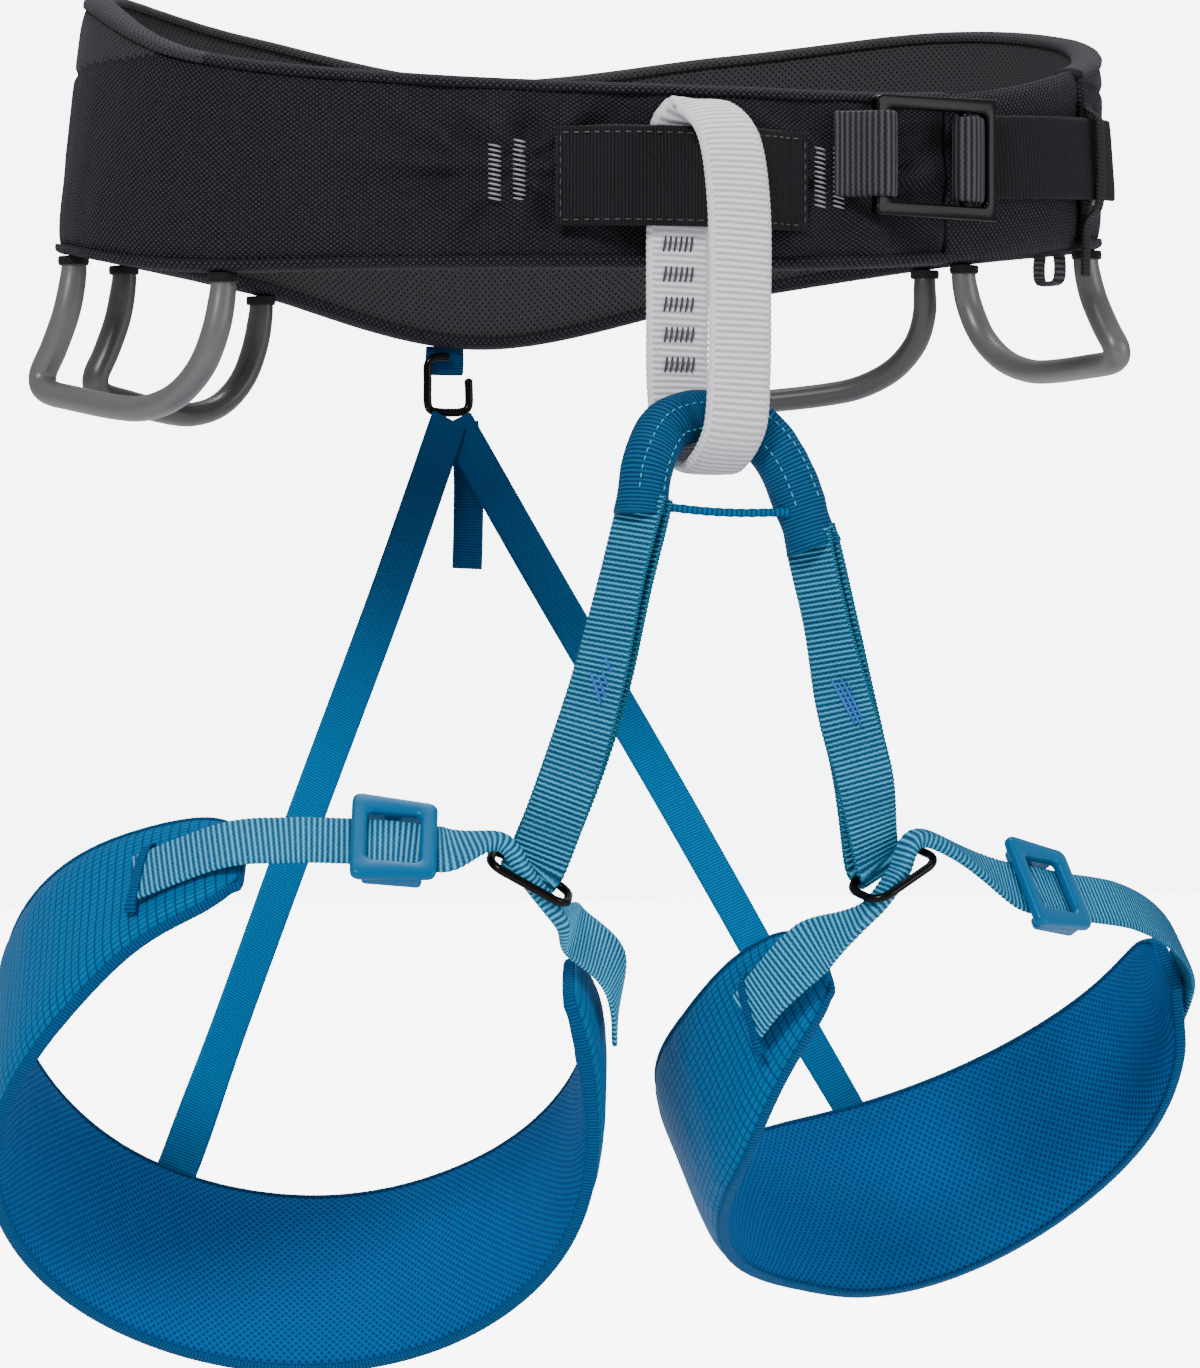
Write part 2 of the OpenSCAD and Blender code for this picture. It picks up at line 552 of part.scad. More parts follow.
module leg_strap_right() {
    color(blue) leg_strap(leg_right, strap_right_rows, strap_right_end, ring_right_at, ring_axes(-1));
}
module leg_strap_left() {
    color(blue) leg_strap(leg_left, strap_left_rows, strap_left_end, ring_left_at, ring_axes(1));
}
// The slider: a frame in front of the strap and a bar behind it
module leg_buckle(leg, a, b) {
    p = strap_row(leg, a);
    q = strap_row(leg, b);
    mid = [for (i = [0 : 2]) (p[i] + q[i]) / 2];
    along = unit([for (i = [0 : 2]) q[i] - p[i]]);
    up = square_to([for (i = [3 : 5]) p[i]], along);
    out = cross(along, up);
    w = leg_webbing_w / 2 + 0.8;
    multmatrix([[along[0], up[0], out[0], mid[0]], [along[1], up[1], out[1], mid[1]],
        [along[2], up[2], out[2], mid[2]]]) {
        for (s = [-1, 1]) {
            translate([-11, s > 0 ? w : -w - 4.8, -2.4]) cube([22, 4.8, 5.6]);
            translate([s > 0 ? 7 : -11, -w - 0.01, 1.4]) cube([4, 2 * w + 0.02, 1.8]);
        }
        translate([-2, -w - 0.01, -2.8]) cube([4, 2 * w + 0.02, 1.6]);
    }
}
module leg_buckle_right() { color(blue) leg_buckle(leg_right, strap_right_rows[4], strap_right_rows[6]); }
module leg_buckle_left() { color(blue) leg_buckle(leg_left, strap_left_rows[6], strap_left_rows[4]); }

belt_shell();
belt_foam();
belt_liner();
waist_webbing();
top_binding();
bottom_binding();
belt_tongue();
wing_end_binding();
tie_in_loop();
tie_in_sleeve();
belt_bar_tacks();
buckle_webbing();
waist_buckle();
strap_turn();
waist_strap();
gear_loop_tabs();
gear_loop_front_right();
gear_loop_rear_right();
gear_loop_front_left();
gear_loop_rear_left();
ice_clipper_slot();
haul_loop_anchor();
haul_loop();
rear_elastic_loop();
belay_loop();
belay_loop_tacks();
bridge_sleeve();
bridge_cord();
bridge_strap_right();
bridge_strap_left();
ring_right();
ring_left();
riser_hook();
riser_right();
riser_left();
riser_tail();
leg_shell_right();
leg_foam_right();
leg_liner_right();
leg_strap_right();
leg_buckle_right();
leg_shell_left();
leg_foam_left();
leg_liner_left();
leg_strap_left();
leg_buckle_left();
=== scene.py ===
import math
import bpy
import numpy as np
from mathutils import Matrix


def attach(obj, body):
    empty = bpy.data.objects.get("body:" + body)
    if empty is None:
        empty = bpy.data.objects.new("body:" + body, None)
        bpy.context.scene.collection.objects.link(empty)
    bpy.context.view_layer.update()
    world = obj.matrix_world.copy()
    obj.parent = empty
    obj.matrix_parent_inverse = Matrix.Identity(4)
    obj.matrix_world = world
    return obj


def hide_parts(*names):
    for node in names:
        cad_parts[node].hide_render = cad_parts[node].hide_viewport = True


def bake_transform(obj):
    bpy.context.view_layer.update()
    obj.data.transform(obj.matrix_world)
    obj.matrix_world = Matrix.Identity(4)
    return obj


# Climbing harness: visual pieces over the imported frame. Lengths are millimetres until a mesh
# is made, and the belt and leg loop formulas are the same as the part's.

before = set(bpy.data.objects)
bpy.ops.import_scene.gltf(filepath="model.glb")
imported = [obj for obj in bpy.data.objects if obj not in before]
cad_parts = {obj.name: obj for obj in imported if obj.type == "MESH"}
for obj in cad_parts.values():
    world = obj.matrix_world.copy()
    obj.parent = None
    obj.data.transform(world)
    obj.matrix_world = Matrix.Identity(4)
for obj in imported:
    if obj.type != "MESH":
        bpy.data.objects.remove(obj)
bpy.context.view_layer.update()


# ------------------------------------------------------------------ numbers shared with the part
BELT_A, BELT_B, BELT_T = 146.0, 101.0, 8.0
BELT_C = np.array([9.0, 4.0])
BELT_FROM, BELT_TO = 57.5, 388.7
TOP = [[23, 25, 37, 50, 56, 51, 43], [23, 25, 33, 50, 56, 51, 43]]
BOTTOM = [[-24, -20, -12.5, -10, -11, -19.5, -34], [-24, -24.5, -24, -17, -14.5, -20, -34]]
LEAN = 0.12
STRAP_C, STRAP_R, STRAP_Z, STRAP_RISE = np.array([31.8, 49.1]), 144.0, 6.4, 4.5
WEB = 22.0                        # width of the waist webbing
BELAY_W, BELAY_T = 17.0, 3.5
LEG_WEB, WEB_T = 15.0, 1.5        # bridge and leg webbing
SLEEVE_D = 14.0
RISER_W, RISER_T = 11.0, 1.2
BUCKLE_ANGLE, BUCKLE_OFF, BUCKLE_Z = 25.0, 6.6, 6.4


def unit(a):
    a = np.asarray(a, float)
    n = np.linalg.norm(a, axis=-1, keepdims=True)
    return a / np.where(n == 0, 1, n)


def spline(a, b, c, d, t):
    return 0.5 * (2 * b + (c - a) * t + (2 * a - 5 * b + 4 * c - d) * t * t
                  + (3 * b - a - 3 * c + d) * t ** 3)


def curve(rows, steps):
    """A smooth open curve through rows of numbers."""
    p = np.asarray(rows, float)
    last = len(p) - 1
    out = [spline(p[max(i - 1, 0)], p[i], p[i + 1], p[min(i + 2, last)], k / steps)
           for i in range(last) for k in range(steps)]
    return np.array(out + [p[last]])


def closed_curve(rows, steps):
    p = np.asarray(rows, float)
    n = len(p)
    return np.array([spline(p[i - 1], p[i], p[(i + 1) % n], p[(i + 2) % n], k / steps)
                     for i in range(n) for k in range(steps)])


def lengths(p):
    return np.concatenate([[0], np.cumsum(np.linalg.norm(np.diff(p[:, :3], axis=0), axis=1))])


def even(p, step, closed=False):
    """The same rows, spread evenly along the curve's length."""
    if closed:
        p = np.vstack([p, p[:1]])
    s = lengths(p)
    n = max(int(s[-1] / step), 4)
    t = np.linspace(0, s[-1], n + 1)
    out = np.stack([np.interp(t, s, p[:, k]) for k in range(p.shape[1])], axis=1)
    return out[:-1] if closed else out


def around(sides, angle):
    """A value given every 30 degrees over each half of the belt, at any angle."""
    angle = np.atleast_1d(np.asarray(angle, float)) % 360
    out = []
    for u in angle:
        v = sides[1 if u > 180 else 0]
        a = (360 - u if u > 180 else u) / 30
        i = min(int(a), 5)
        out.append(spline(v[abs(i - 1)], v[i], v[i + 1], v[5 if i == 5 else i + 2], a - i))
    return np.array(out)


def belt_xy(angle, off):
    a = np.radians(angle)
    s, c = np.sin(a), np.cos(a)
    n = unit(np.stack([BELT_B * s, -BELT_A * c], axis=-1))
    return np.stack([BELT_C[0] + BELT_A * s, BELT_C[1] - BELT_B * c], axis=-1) \
        + n * np.asarray(off)[..., None]


def belt_point(angle, off, z):
    angle, off, z = np.broadcast_arrays(np.asarray(angle, float), np.asarray(off, float),
                                        np.asarray(z, float))
    lean = LEAN * (z + 20) * np.maximum(0, -np.sin(np.radians(angle))) ** 2
    return np.concatenate([belt_xy(angle, off - lean), z[..., None]], axis=-1)


def belt_angle(x):
    """The angle on the belt's front at which its face has this x."""
    return math.degrees(math.asin((x - BELT_C[0]) / BELT_A))


def noise(p, scale, seed=0, octaves=3):
    """Smooth value noise of points, from -1 to 1."""
    p = np.asarray(p, float) / scale + seed * 17.31
    total, amp, norm = 0, 1.0, 0.0
    for _ in range(octaves):
        f = np.floor(p)
        w = p - f
        w = w * w * (3 - 2 * w)
        value = 0
        for corner in range(2 ** p.shape[-1]):
            bits = [(corner >> k) & 1 for k in range(p.shape[-1])]
            h = sum((f[..., k] + bits[k]) * m for k, m in zip(range(p.shape[-1]),
                                                              (127.1, 311.7, 74.7)))
            r = np.sin(h) * 43758.5453
            r = r - np.floor(r)
            weight = 1
            for k, b in enumerate(bits):
                weight = weight * (w[..., k] if b else 1 - w[..., k])
            value = value + r * weight
        total = total + (value * 2 - 1) * amp
        norm += amp
        amp *= 0.5
        p = p * 2.03 + 5.1
    return total / norm


# ------------------------------------------------------------------ materials
class Nodes:
    """A small helper that builds a node material on UV coordinates in millimetres."""

    def __init__(self, name, base, rough, **sockets):
        self.mat = bpy.data.materials.new(name)
        self.mat.use_nodes = True
        self.tree = self.mat.node_tree
        self.bsdf = self.tree.nodes["Principled BSDF"]
        self.bsdf.inputs["Base Color"].default_value = (*base, 1)
        self.bsdf.inputs["Roughness"].default_value = rough
        for key, value in sockets.items():
            self.bsdf.inputs[key.replace("_", " ")].default_value = value
        uv = self.tree.nodes.new("ShaderNodeUVMap")
        uv.uv_map = "UVMap"
        split = self.tree.nodes.new("ShaderNodeSeparateXYZ")
        self.link(uv.outputs[0], split.inputs[0])
        self.u = self.math("MULTIPLY", split.outputs[0], 1000.0)
        self.v = self.math("MULTIPLY", split.outputs[1], 1000.0)

    def link(self, a, b):
        self.tree.links.new(a, b)

    def math(self, op, a, b=None, c=None, clamp=False):
        n = self.tree.nodes.new("ShaderNodeMath")
        n.operation = op
        n.use_clamp = clamp
        for k, x in enumerate((a, b, c)):
            if x is None:
                continue
            if isinstance(x, (int, float)):
                n.inputs[k].default_value = x
            else:
                self.link(x, n.inputs[k])
        return n.outputs[0]

    def wave(self, x, pitch, phase=0.0):
        """0 to 1 and back, once each pitch along x."""
        k = self.math("MULTIPLY_ADD", x, 2 * math.pi / pitch, phase)
        return self.math("MULTIPLY_ADD", self.math("SINE", k), 0.5, 0.5)

    def noise(self, scale, detail=2):
        n = self.tree.nodes.new("ShaderNodeTexNoise")
        n.inputs["Scale"].default_value = scale
        n.inputs["Detail"].default_value = detail
        tc = self.tree.nodes.new("ShaderNodeTexCoord")
        self.link(tc.outputs["Object"], n.inputs["Vector"])
        return n.outputs[0]

    def color(self, factor, a, b):
        n = self.tree.nodes.new("ShaderNodeMix")
        n.data_type = "RGBA"
        self.link(factor, n.inputs[0])
        for key, x in (("A", a), ("B", b)):
            s = [i for i in n.inputs if i.name == key and i.type == "RGBA"][0]
            if isinstance(x, tuple):
                s.default_value = (*x, 1)
            else:
                self.link(x, s)
        out = [o for o in n.outputs if o.type == "RGBA"][0]
        self.link(out, self.bsdf.inputs["Base Color"])
        return out

    def bump(self, height, depth_mm):
        n = self.tree.nodes.new("ShaderNodeBump")
        n.inputs["Strength"].default_value = 1.0
        n.inputs["Distance"].default_value = depth_mm / 1000
        self.link(height, n.inputs["Height"])
        self.link(n.outputs[0], self.bsdf.inputs["Normal"])


def cloth_sockets(sheen, base, spec=0.08):
    """Sheen and gloss of a cloth, both in its own colour where it has a strong one."""
    tint = (*(0.25 + 0.75 * np.array(base) / max(base)), 1)
    return dict(Sheen_Weight=sheen * 0.1, Sheen_Roughness=0.45, Sheen_Tint=tint,
                Specular_Tint=tint, Specular_IOR_Level=spec)


def twill(name, base, light, pitch, depth):
    """A coarse basket weave that runs on the diagonal, its crests painted lighter as painted
    highlight and its hollows darker as painted shade, with some random tone.
    """
    m = Nodes(name, base, 0.7, **cloth_sockets(0.25, base))
    a = m.math("ADD", m.u, m.v)
    b = m.math("SUBTRACT", m.u, m.v)
    weave = m.math("MULTIPLY", m.wave(a, pitch * 1.414), m.wave(b, pitch * 1.414))
    h = m.math("MULTIPLY_ADD", m.noise(900), 0.35, weave)
    # light colour on the weave's crests is painted highlight, the base in its hollows painted
    # shade
    m.color(m.math("POWER", h, 1.4, clamp=True), base, light)
    m.bump(h, depth)
    return m.mat


def spacer_mesh(name, base, hole_shade, pitch, rough=0.75, sheen=0.3, cut=0.62):
    """Knitted mesh with staggered rows of small holes, coloured darker as painted shade in them.
    """
    m = Nodes(name, base, rough, **cloth_sockets(sheen, base))
    rows = [m.math("MULTIPLY", m.wave(m.u, pitch, shift), m.wave(m.v, pitch, shift))
            for shift in (0, math.pi)]
    d = m.math("MAXIMUM", *rows)
    hollow = m.math("MULTIPLY", m.math("SUBTRACT", d, cut), 1 / (1 - cut), clamp=True)
    # painted shade in the holes
    m.color(hollow, base, hole_shade)
    m.bump(m.math("SUBTRACT", m.math("MULTIPLY", m.noise(1500), 0.3), hollow), 0.3)
    return m.mat


def ripstop(name, base, thick):
    """Plain weave with a darker raised grid of thicker threads."""
    m = Nodes(name, base, 0.55, **cloth_sockets(0.05, base, 0.12))
    line = m.math("MAXIMUM", m.math("POWER", m.wave(m.u, 2.6), 14.0),
                  m.math("POWER", m.wave(m.v, 2.1), 10.0))
    fine = m.math("MULTIPLY", m.wave(m.u, 0.42), m.wave(m.v, 0.42))
    shade = m.math("MULTIPLY_ADD", m.math("MULTIPLY", m.noise(350, 3), fine), 0.5,
                   m.math("MULTIPLY", line, 0.85), clamp=True)
    m.color(shade, base, thick)
    m.bump(m.math("MULTIPLY_ADD", fine, 0.35, line), 0.1)
    return m.mat


def ribbed(name, valley_shade, crest_lit, pitch, depth=0.12, rough=0.6, sharp=1.0, shaded_start=None):
    """Webbing: ribs across its width, woven of two rows of loops. Its colour is painted shade in
    the valleys between the ribs and painted highlight on their crests, with some random tone.
    Where two more colours are given for the start, the strap starts with those, which are
    painted shade, and reaches its own further along."""
    m = Nodes(name, crest_lit, rough, **cloth_sockets(0.2, crest_lit))
    zig = m.math("MULTIPLY", m.wave(m.v, 1.5), 0.9)
    rib = m.math("POWER", m.wave(m.math("MULTIPLY_ADD", zig, pitch * 0.07, m.u), pitch), sharp)
    strand = m.wave(m.v, 0.75)
    # colour mix: random tone, painted shade in the rib valleys and painted highlight on the crests
    tone_and_rib_shade = m.math("MULTIPLY_ADD", m.noise(1300), 0.25, m.math("MULTIPLY", rib, 0.85),
                  clamp=True)
    own = m.color(tone_and_rib_shade, valley_shade, crest_lit)
    # painted shade: the strap's first colours are darker, and it reaches its own further along
    if shaded_start:
        start = m.color(tone_and_rib_shade, *shaded_start)
        m.color(m.math("MULTIPLY_ADD", m.u, 1 / 90, -0.25, clamp=True), start, own)
    m.bump(m.math("MULTIPLY_ADD", strand, 0.35, rib), depth)
    return m.mat


def plain(name, base, rough, bump=0.0, scale=700, **sockets):
    m = Nodes(name, base, rough, **sockets)
    if bump:
        m.bump(m.noise(scale, 3), bump)
    return m.mat


# blacks are a little violet, and the blues have no red in them at all
M = {
    # the twill's second colour is painted highlight on the crests of the weave
    "twill": twill("belt_twill", (0.0012, 0.0010, 0.0014), (0.040, 0.035, 0.041), 1.2, 0.3),
    "mesh": spacer_mesh("belt_mesh", (0.030, 0.027, 0.030), (0.001, 0.001, 0.001), 1.9),
    "binding": ribbed("belt_binding", (0.003, 0.003, 0.003), (0.013, 0.012, 0.014), 1.1),
    "fine": ribbed("fine_black", (0.002, 0.002, 0.002), (0.014, 0.0125, 0.0145), 0.9),
    "web": ribbed("black_webbing", (0.003, 0.003, 0.003), (0.062, 0.056, 0.066), 1.5, sharp=1.5),
    # a darker copy of the black webbing for the waist strap, as painted shade
    "web_dim": ribbed("strap_webbing", (0.001, 0.001, 0.001), (0.011, 0.010, 0.012), 1.5,
                      sharp=1.4),
    "stitch": plain("dark_thread", (0.035, 0.033, 0.038), 0.5),
    "tack": plain("grey_thread", (0.22, 0.19, 0.23), 0.5, 0.05, 3000),
    "metal": plain("black_metal", (0.0010, 0.0010, 0.0012), 0.24, 0.006, 260,
                   Specular_IOR_Level=0.09, Coat_Weight=0.05, Coat_Roughness=0.08),
    "grey_front": plain("grey_moulded", (0.078, 0.073, 0.076), 0.36, 0.01, 500),
    "grey_rear": plain("dark_moulded", (0.030, 0.028, 0.030), 0.36, 0.01, 500),
    "grey_tab": plain("grey_tab", (0.10, 0.10, 0.105), 0.6, 0.05, 1500),
    "white_web": ribbed("white_webbing", (0.30, 0.285, 0.31), (0.72, 0.70, 0.73), 1.62, 0.14,
                        0.62),
    "white_edge": plain("white_edge", (0.60, 0.58, 0.61), 0.65, 0.06, 1800),
    "tack_dark": plain("dark_tack", (0.022, 0.017, 0.026), 0.5, 0.05, 3000),
    "sleeve": ribbed("blue_sleeve", (0.0, 0.014, 0.045), (0.008, 0.085, 0.190), 0.95, 0.1),
    "stitch_blue": plain("light_thread", (0.02, 0.30, 0.48), 0.5),
    "stitch_deep": plain("deep_thread", (0.0, 0.080, 0.40), 0.5),
    "web_blue": ribbed("blue_webbing", (0.0, 0.004, 0.032), (0.060, 0.340, 0.54), 1.3, 0.2,
                       sharp=2.3),
    "web_edge": ribbed("strap_edge", (0.0, 0.008, 0.025), (0.02, 0.16, 0.25), 0.7, 0.1),
    "web_leg": ribbed("leg_webbing", (0.0, 0.010, 0.060), (0.065, 0.39, 0.62), 1.35, 0.2,
                      sharp=1.8),
    "cord": ribbed("blue_cord", (0.0, 0.02, 0.07), (0.0, 0.12, 0.26), 1.3),
    # the elastic's two extra colours are painted shade, darker towards the start of each strap
    "elastic": ribbed("blue_elastic", (0.0, 0.045, 0.14), (0.0, 0.14, 0.33), 0.8, 0.08,
                      shaded_start=((0.0, 0.012, 0.045), (0.0, 0.035, 0.10))),
    "ripstop": ripstop("leg_ripstop", (0.0, 0.118, 0.290), (0.0, 0.014, 0.065)),
    "leg_mesh": spacer_mesh("leg_mesh", (0.0, 0.082, 0.245), (0.0, 0.026, 0.105), 2.1, 0.7,
                            0.15, 0.40),
    "leg_edge": ribbed("leg_edge", (0.0, 0.02, 0.07), (0.0, 0.075, 0.20), 0.9, 0.08),
    "plastic": plain("blue_plastic", (0.0, 0.080, 0.200), 0.34, 0.01, 400,
                     Specular_IOR_Level=0.35, Specular_Tint=(0.3, 0.75, 1, 1)),
}


# ------------------------------------------------------------------ mesh building
def make(name, verts, faces, uvs, mat, smooth=True):
    """A mesh object from points in millimetres, with one UV pair for each face corner."""
    me = bpy.data.meshes.new(name)
    me.from_pydata((np.asarray(verts) / 1000).tolist(), [], faces)
    layer = me.uv_layers.new(name="UVMap")
    if uvs is not None:
        layer.data.foreach_set("uv", (np.asarray(uvs, float) / 1000).ravel())
    me.polygons.foreach_set("use_smooth", [smooth] * len(me.polygons))
    me.validate()
    ob = bpy.data.objects.new(name, me)
    bpy.context.scene.collection.objects.link(ob)
    for x in [mat] if isinstance(mat, str) else mat:
        me.materials.append(M[x])
    return ob


def grid(name, P, U, V, mat, wrap_i=False, wrap_j=False, caps=False, mat_of=None, flip=False):
    """A surface through points P[i, j] with UVs U, V in millimetres."""
    ni, nj = P.shape[:2]
    fi = ni if wrap_i else ni - 1
    fj = nj if wrap_j else nj - 1
    i, j = np.meshgrid(np.arange(fi), np.arange(fj), indexing="ij")
    i2, j2 = (i + 1) % ni, (j + 1) % nj
    quads = np.stack([i * nj + j, i2 * nj + j, i2 * nj + j2, i * nj + j2], axis=-1).reshape(-1, 4)
    Ue = np.append(U, 2 * U[-1] - U[-2]) if wrap_i else U
    Uc = np.stack([Ue[i], Ue[i + 1], Ue[i + 1], Ue[i]], axis=-1).reshape(-1)
    Ve = np.append(V, 2 * V[-1] - V[-2]) if wrap_j else V
    Vc = np.stack([Ve[j], Ve[j], Ve[j + 1], Ve[j + 1]], axis=-1).reshape(-1)
    uv = np.stack([Uc, Vc], axis=-1)
    faces = quads.tolist()
    if flip:
        faces = [f[::-1] for f in faces]
        uv = uv.reshape(-1, 4, 2)[:, ::-1].reshape(-1, 2)
    uvs = uv.tolist()
    if caps:
        for ring, order in ((range(nj), 1), (range((ni - 1) * nj, ni * nj), -1)):
            ring = list(ring)[::order]
            faces.append(ring if not flip else ring[::-1])
            uvs += [[0, 0]] * nj
    ob = make(name, P.reshape(-1, 3), faces, uvs, mat)
    if mat_of is not None:
        idx = mat_of(i.reshape(-1), j.reshape(-1))
        idx = np.concatenate([idx, np.zeros(len(faces) - len(idx), int)])
        ob.data.polygons.foreach_set("material_index", idx.astype(int))
    return ob


def directions(p, closed=False):
    """The direction along a line at each of its points."""
    return unit(np.roll(p, -1, 0) - np.roll(p, 1, 0) if closed else np.gradient(p, axis=0))


def frames(p, w, closed=False):
    """Directions along, across and out of a ribbon at each row."""
    along = directions(p, closed)
    w = unit(w - along * np.sum(along * w, axis=1, keepdims=True))
    return along, w, np.cross(along, w)


def webbing_profile(n_face):
    """Points round a flat webbing's section, across and through as shares of its half sizes.
    The points on its two edges are the ones further out than 1."""
    xs = np.linspace(-1, 1, n_face)
    return np.array([(x, 1.0) for x in xs] + [(1.45, 0.0)] + [(x, -1.0) for x in xs[::-1]]
                    + [(-1.45, 0.0)])


def webbing(name, rows, width, t, mat, closed=False, step=0.4, rib=0.0, pitch=1.3, soft=None,
            n_face=12, crown=0.0, edge_mat=None):
    """A woven strap along rows of [x, y, z, width direction]. rib is the height of its
    ribs, and soft(s, x) pushes its faces in or out, where s is the place along it."""
    rows = even(np.asarray(rows, float), step, closed)
    p = rows[:, :3]
    _, w, up = frames(p, rows[:, 3:6], closed)
    s = lengths(p)
    prof = webbing_profile(n_face)
    edge = 0.35 * t
    half_w = width / 2 - edge
    bunch = np.clip(rows[:, 6:7], 0, 1) if rows.shape[1] > 6 else np.zeros((len(p), 1))
    x = np.where(np.abs(prof[:, 0]) > 1, np.sign(prof[:, 0]) * (1 + edge / half_w), prof[:, 0])
    X = x * half_w * (1 - 0.66 * bunch)
    face = np.sign(prof[:, 1])
    Z = prof[:, 1] * t / 2 * (1 + 1.8 * bunch) * (1 - 0.25 * np.abs(prof[:, 0]) ** 6)
    if crown:
        Z = Z + face * crown * (1 - X ** 2 / (width / 2) ** 2)
    if rib:
        zig = 0.06 * pitch * np.sign(np.sin(X * 2 * math.pi / 1.9))
        wave = np.abs(np.sin(math.pi * (s[:, None] + zig) / pitch)) ** 0.8
        Z = Z + face * (wave - 0.6) * rib
        X = X + np.sign(prof[:, 0]) * (np.abs(prof[:, 0]) > 0.99) * (wave - 0.5) * rib * 1.1
    if soft is not None:
        Z = Z + soft(s[:, None], X)
    P = p[:, None, :] + w[:, None, :] * X[..., None] + up[:, None, :] * Z[..., None]
    V = lengths(np.stack([x * half_w, prof[:, 1] * t / 2], 1))
    mats, mat_of = mat, None
    if edge_mat:
        mats = [mat, edge_mat]
        mat_of = lambda i, j: np.isin(j % (n_face + 1), [n_face - 1, n_face]).astype(int)
    return grid(name, P, s, V, mats, wrap_i=closed, wrap_j=True, caps=not closed, mat_of=mat_of)


def tube(name, path, d, ref, mat, sides=20, closed=False, step=0.8, round_ends=True,
         shape=None):
    """A round rod along a path; shape(s share, angle) scales its radius."""
    p = even(np.asarray(path, float)[:, :3], step, closed)
    along = directions(p, closed)
    u = unit(np.cross(along, np.asarray(ref, float)))
    v = np.cross(along, u)
    s = lengths(p)
    a = np.arange(sides) * 2 * math.pi / sides
    r = np.full((len(p), sides), d / 2)
    if shape:
        r = r * shape(s[:, None] / s[-1], a)
    if round_ends and not closed:
        k = np.clip(np.minimum(s, s[-1] - s) / (d * 0.35), 0, 1)
        r = r * np.sqrt(np.clip(1 - (1 - k) ** 2, 0.02, 1))[:, None]
    P = p[:, None, :] + r[..., None] * (u[:, None, :] * np.cos(a)[:, None]
                                        + v[:, None, :] * np.sin(a)[:, None])
    return grid(name, P, s, a * d / 2, mat, wrap_i=closed, wrap_j=True, caps=not closed)


def block(name, size, mat, bevel, segments=3):
    """A box with rounded edges, its middle at the origin."""
    x, y, z = (k / 2 for k in size)
    verts = [(sx * x, sy * y, sz * z) for sx in (-1, 1) for sy in (-1, 1) for sz in (-1, 1)]
    faces = [(0, 1, 3, 2), (4, 6, 7, 5), (0, 4, 5, 1), (2, 3, 7, 6), (0, 2, 6, 4), (1, 5, 7, 3)]
    uvs = [(verts[i][0] + verts[i][1], verts[i][2]) for f in faces for i in f]
    ob = make(name, verts, [list(f) for f in faces], uvs, mat, False)
    m = ob.modifiers.new("bevel", "BEVEL")
    m.width = bevel / 1000
    m.segments = segments
    m.limit_method = "NONE"
    evaluated = ob.evaluated_get(bpy.context.evaluated_depsgraph_get())
    rounded = bpy.data.meshes.new_from_object(evaluated)
    ob.modifiers.clear()
    ob.data = rounded
    rounded.polygons.foreach_set("use_smooth", [True] * len(rounded.polygons))
    return ob


def move(ob, matrix3, offset):
    """Places a mesh built round the origin: columns of matrix3 are its new X, Y and Z."""
    me = ob.data
    co = np.empty(len(me.vertices) * 3)
    me.vertices.foreach_get("co", co)
    me.vertices.foreach_set("co", (co.reshape(-1, 3) @ matrix3.T + offset / 1000).ravel())
    if np.linalg.det(matrix3) < 0:
        me.flip_normals()
    me.update()


def join(name, obs):
    """One object of several meshes."""
    bpy.ops.object.select_all(action="DESELECT")
    for o in obs:
        o.select_set(True)
    bpy.context.view_layer.objects.active = obs[0]
    bpy.ops.object.join()
    obs[0].name = name
    obs[0].data.name = name
    return obs[0]


def threads(name, segments, d, mat):
    """Short straight stitches between pairs of points, each slightly bowed outwards."""
    verts, faces = [], []
    for p, q, out in segments:
        p, q, out = (np.asarray(k, float) for k in (p, q, out))
        along = unit(q - p)
        side = unit(np.cross(along, out))
        up = np.cross(side, along)
        base = len(verts)
        rings = 5
        for k in range(rings):
            t = k / (rings - 1)
            bow = math.sin(math.pi * t)
            c = p + (q - p) * t + out * d * (0.45 * bow - 0.15)
            r = d / 2 * (0.55 + 0.45 * bow)
            for m in range(6):
                a = m * math.pi / 3
                verts.append(c + r * (side * math.cos(a) + up * math.sin(a)))
        for k in range(rings - 1):
            for m in range(6):
                a, b = base + k * 6 + m, base + k * 6 + (m + 1) % 6
                faces.append([a, b, b + 6, a + 6])
        faces.append([base + m for m in range(5, -1, -1)])
        faces.append([base + (rings - 1) * 6 + m for m in range(6)])
    return make(name, verts, faces, None, mat)


def stitch_line(points, outs, pitch, fill=0.62):
    """Pairs of points for a running stitch along a line."""
    p = np.asarray(points, float)
    s = lengths(p)
    n = int(s[-1] / pitch)
    at = lambda t, a: np.array([np.interp(t, s, a[:, k]) for k in range(3)])
    o = np.asarray(outs, float)
    if o.ndim == 1:
        o = np.tile(o, (len(p), 1))
    return [(at((k + 0.5 - fill / 2) * pitch, p), at((k + 0.5 + fill / 2) * pitch, p),
             unit(at((k + 0.5) * pitch, o))) for k in range(n)]


def zigzag(at, down, across, out, length, width, count):
    """Pairs of points for one bar tack."""
    at, down, across = (np.asarray(k, float) for k in (at, down, across))
    segs = []
    for k in range(count):
        a = at + down * (k / count * length) - across * width / 2
        b = at + down * ((k + 0.55) / count * length) + across * width / 2
        segs.append((a, b, out))
    return segs


def put(ob, body, slot, *nodes, padded=None):
    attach(ob, body)
    if nodes:
        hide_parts(*nodes)


def ribbon_body(name, sections, us, mat, **kw):
    """A body whose closed section changes along its length."""
    P = np.stack(sections)
    return grid(name, P, us, lengths(P[len(P) // 2]), mat, wrap_j=True, caps=True, **kw)


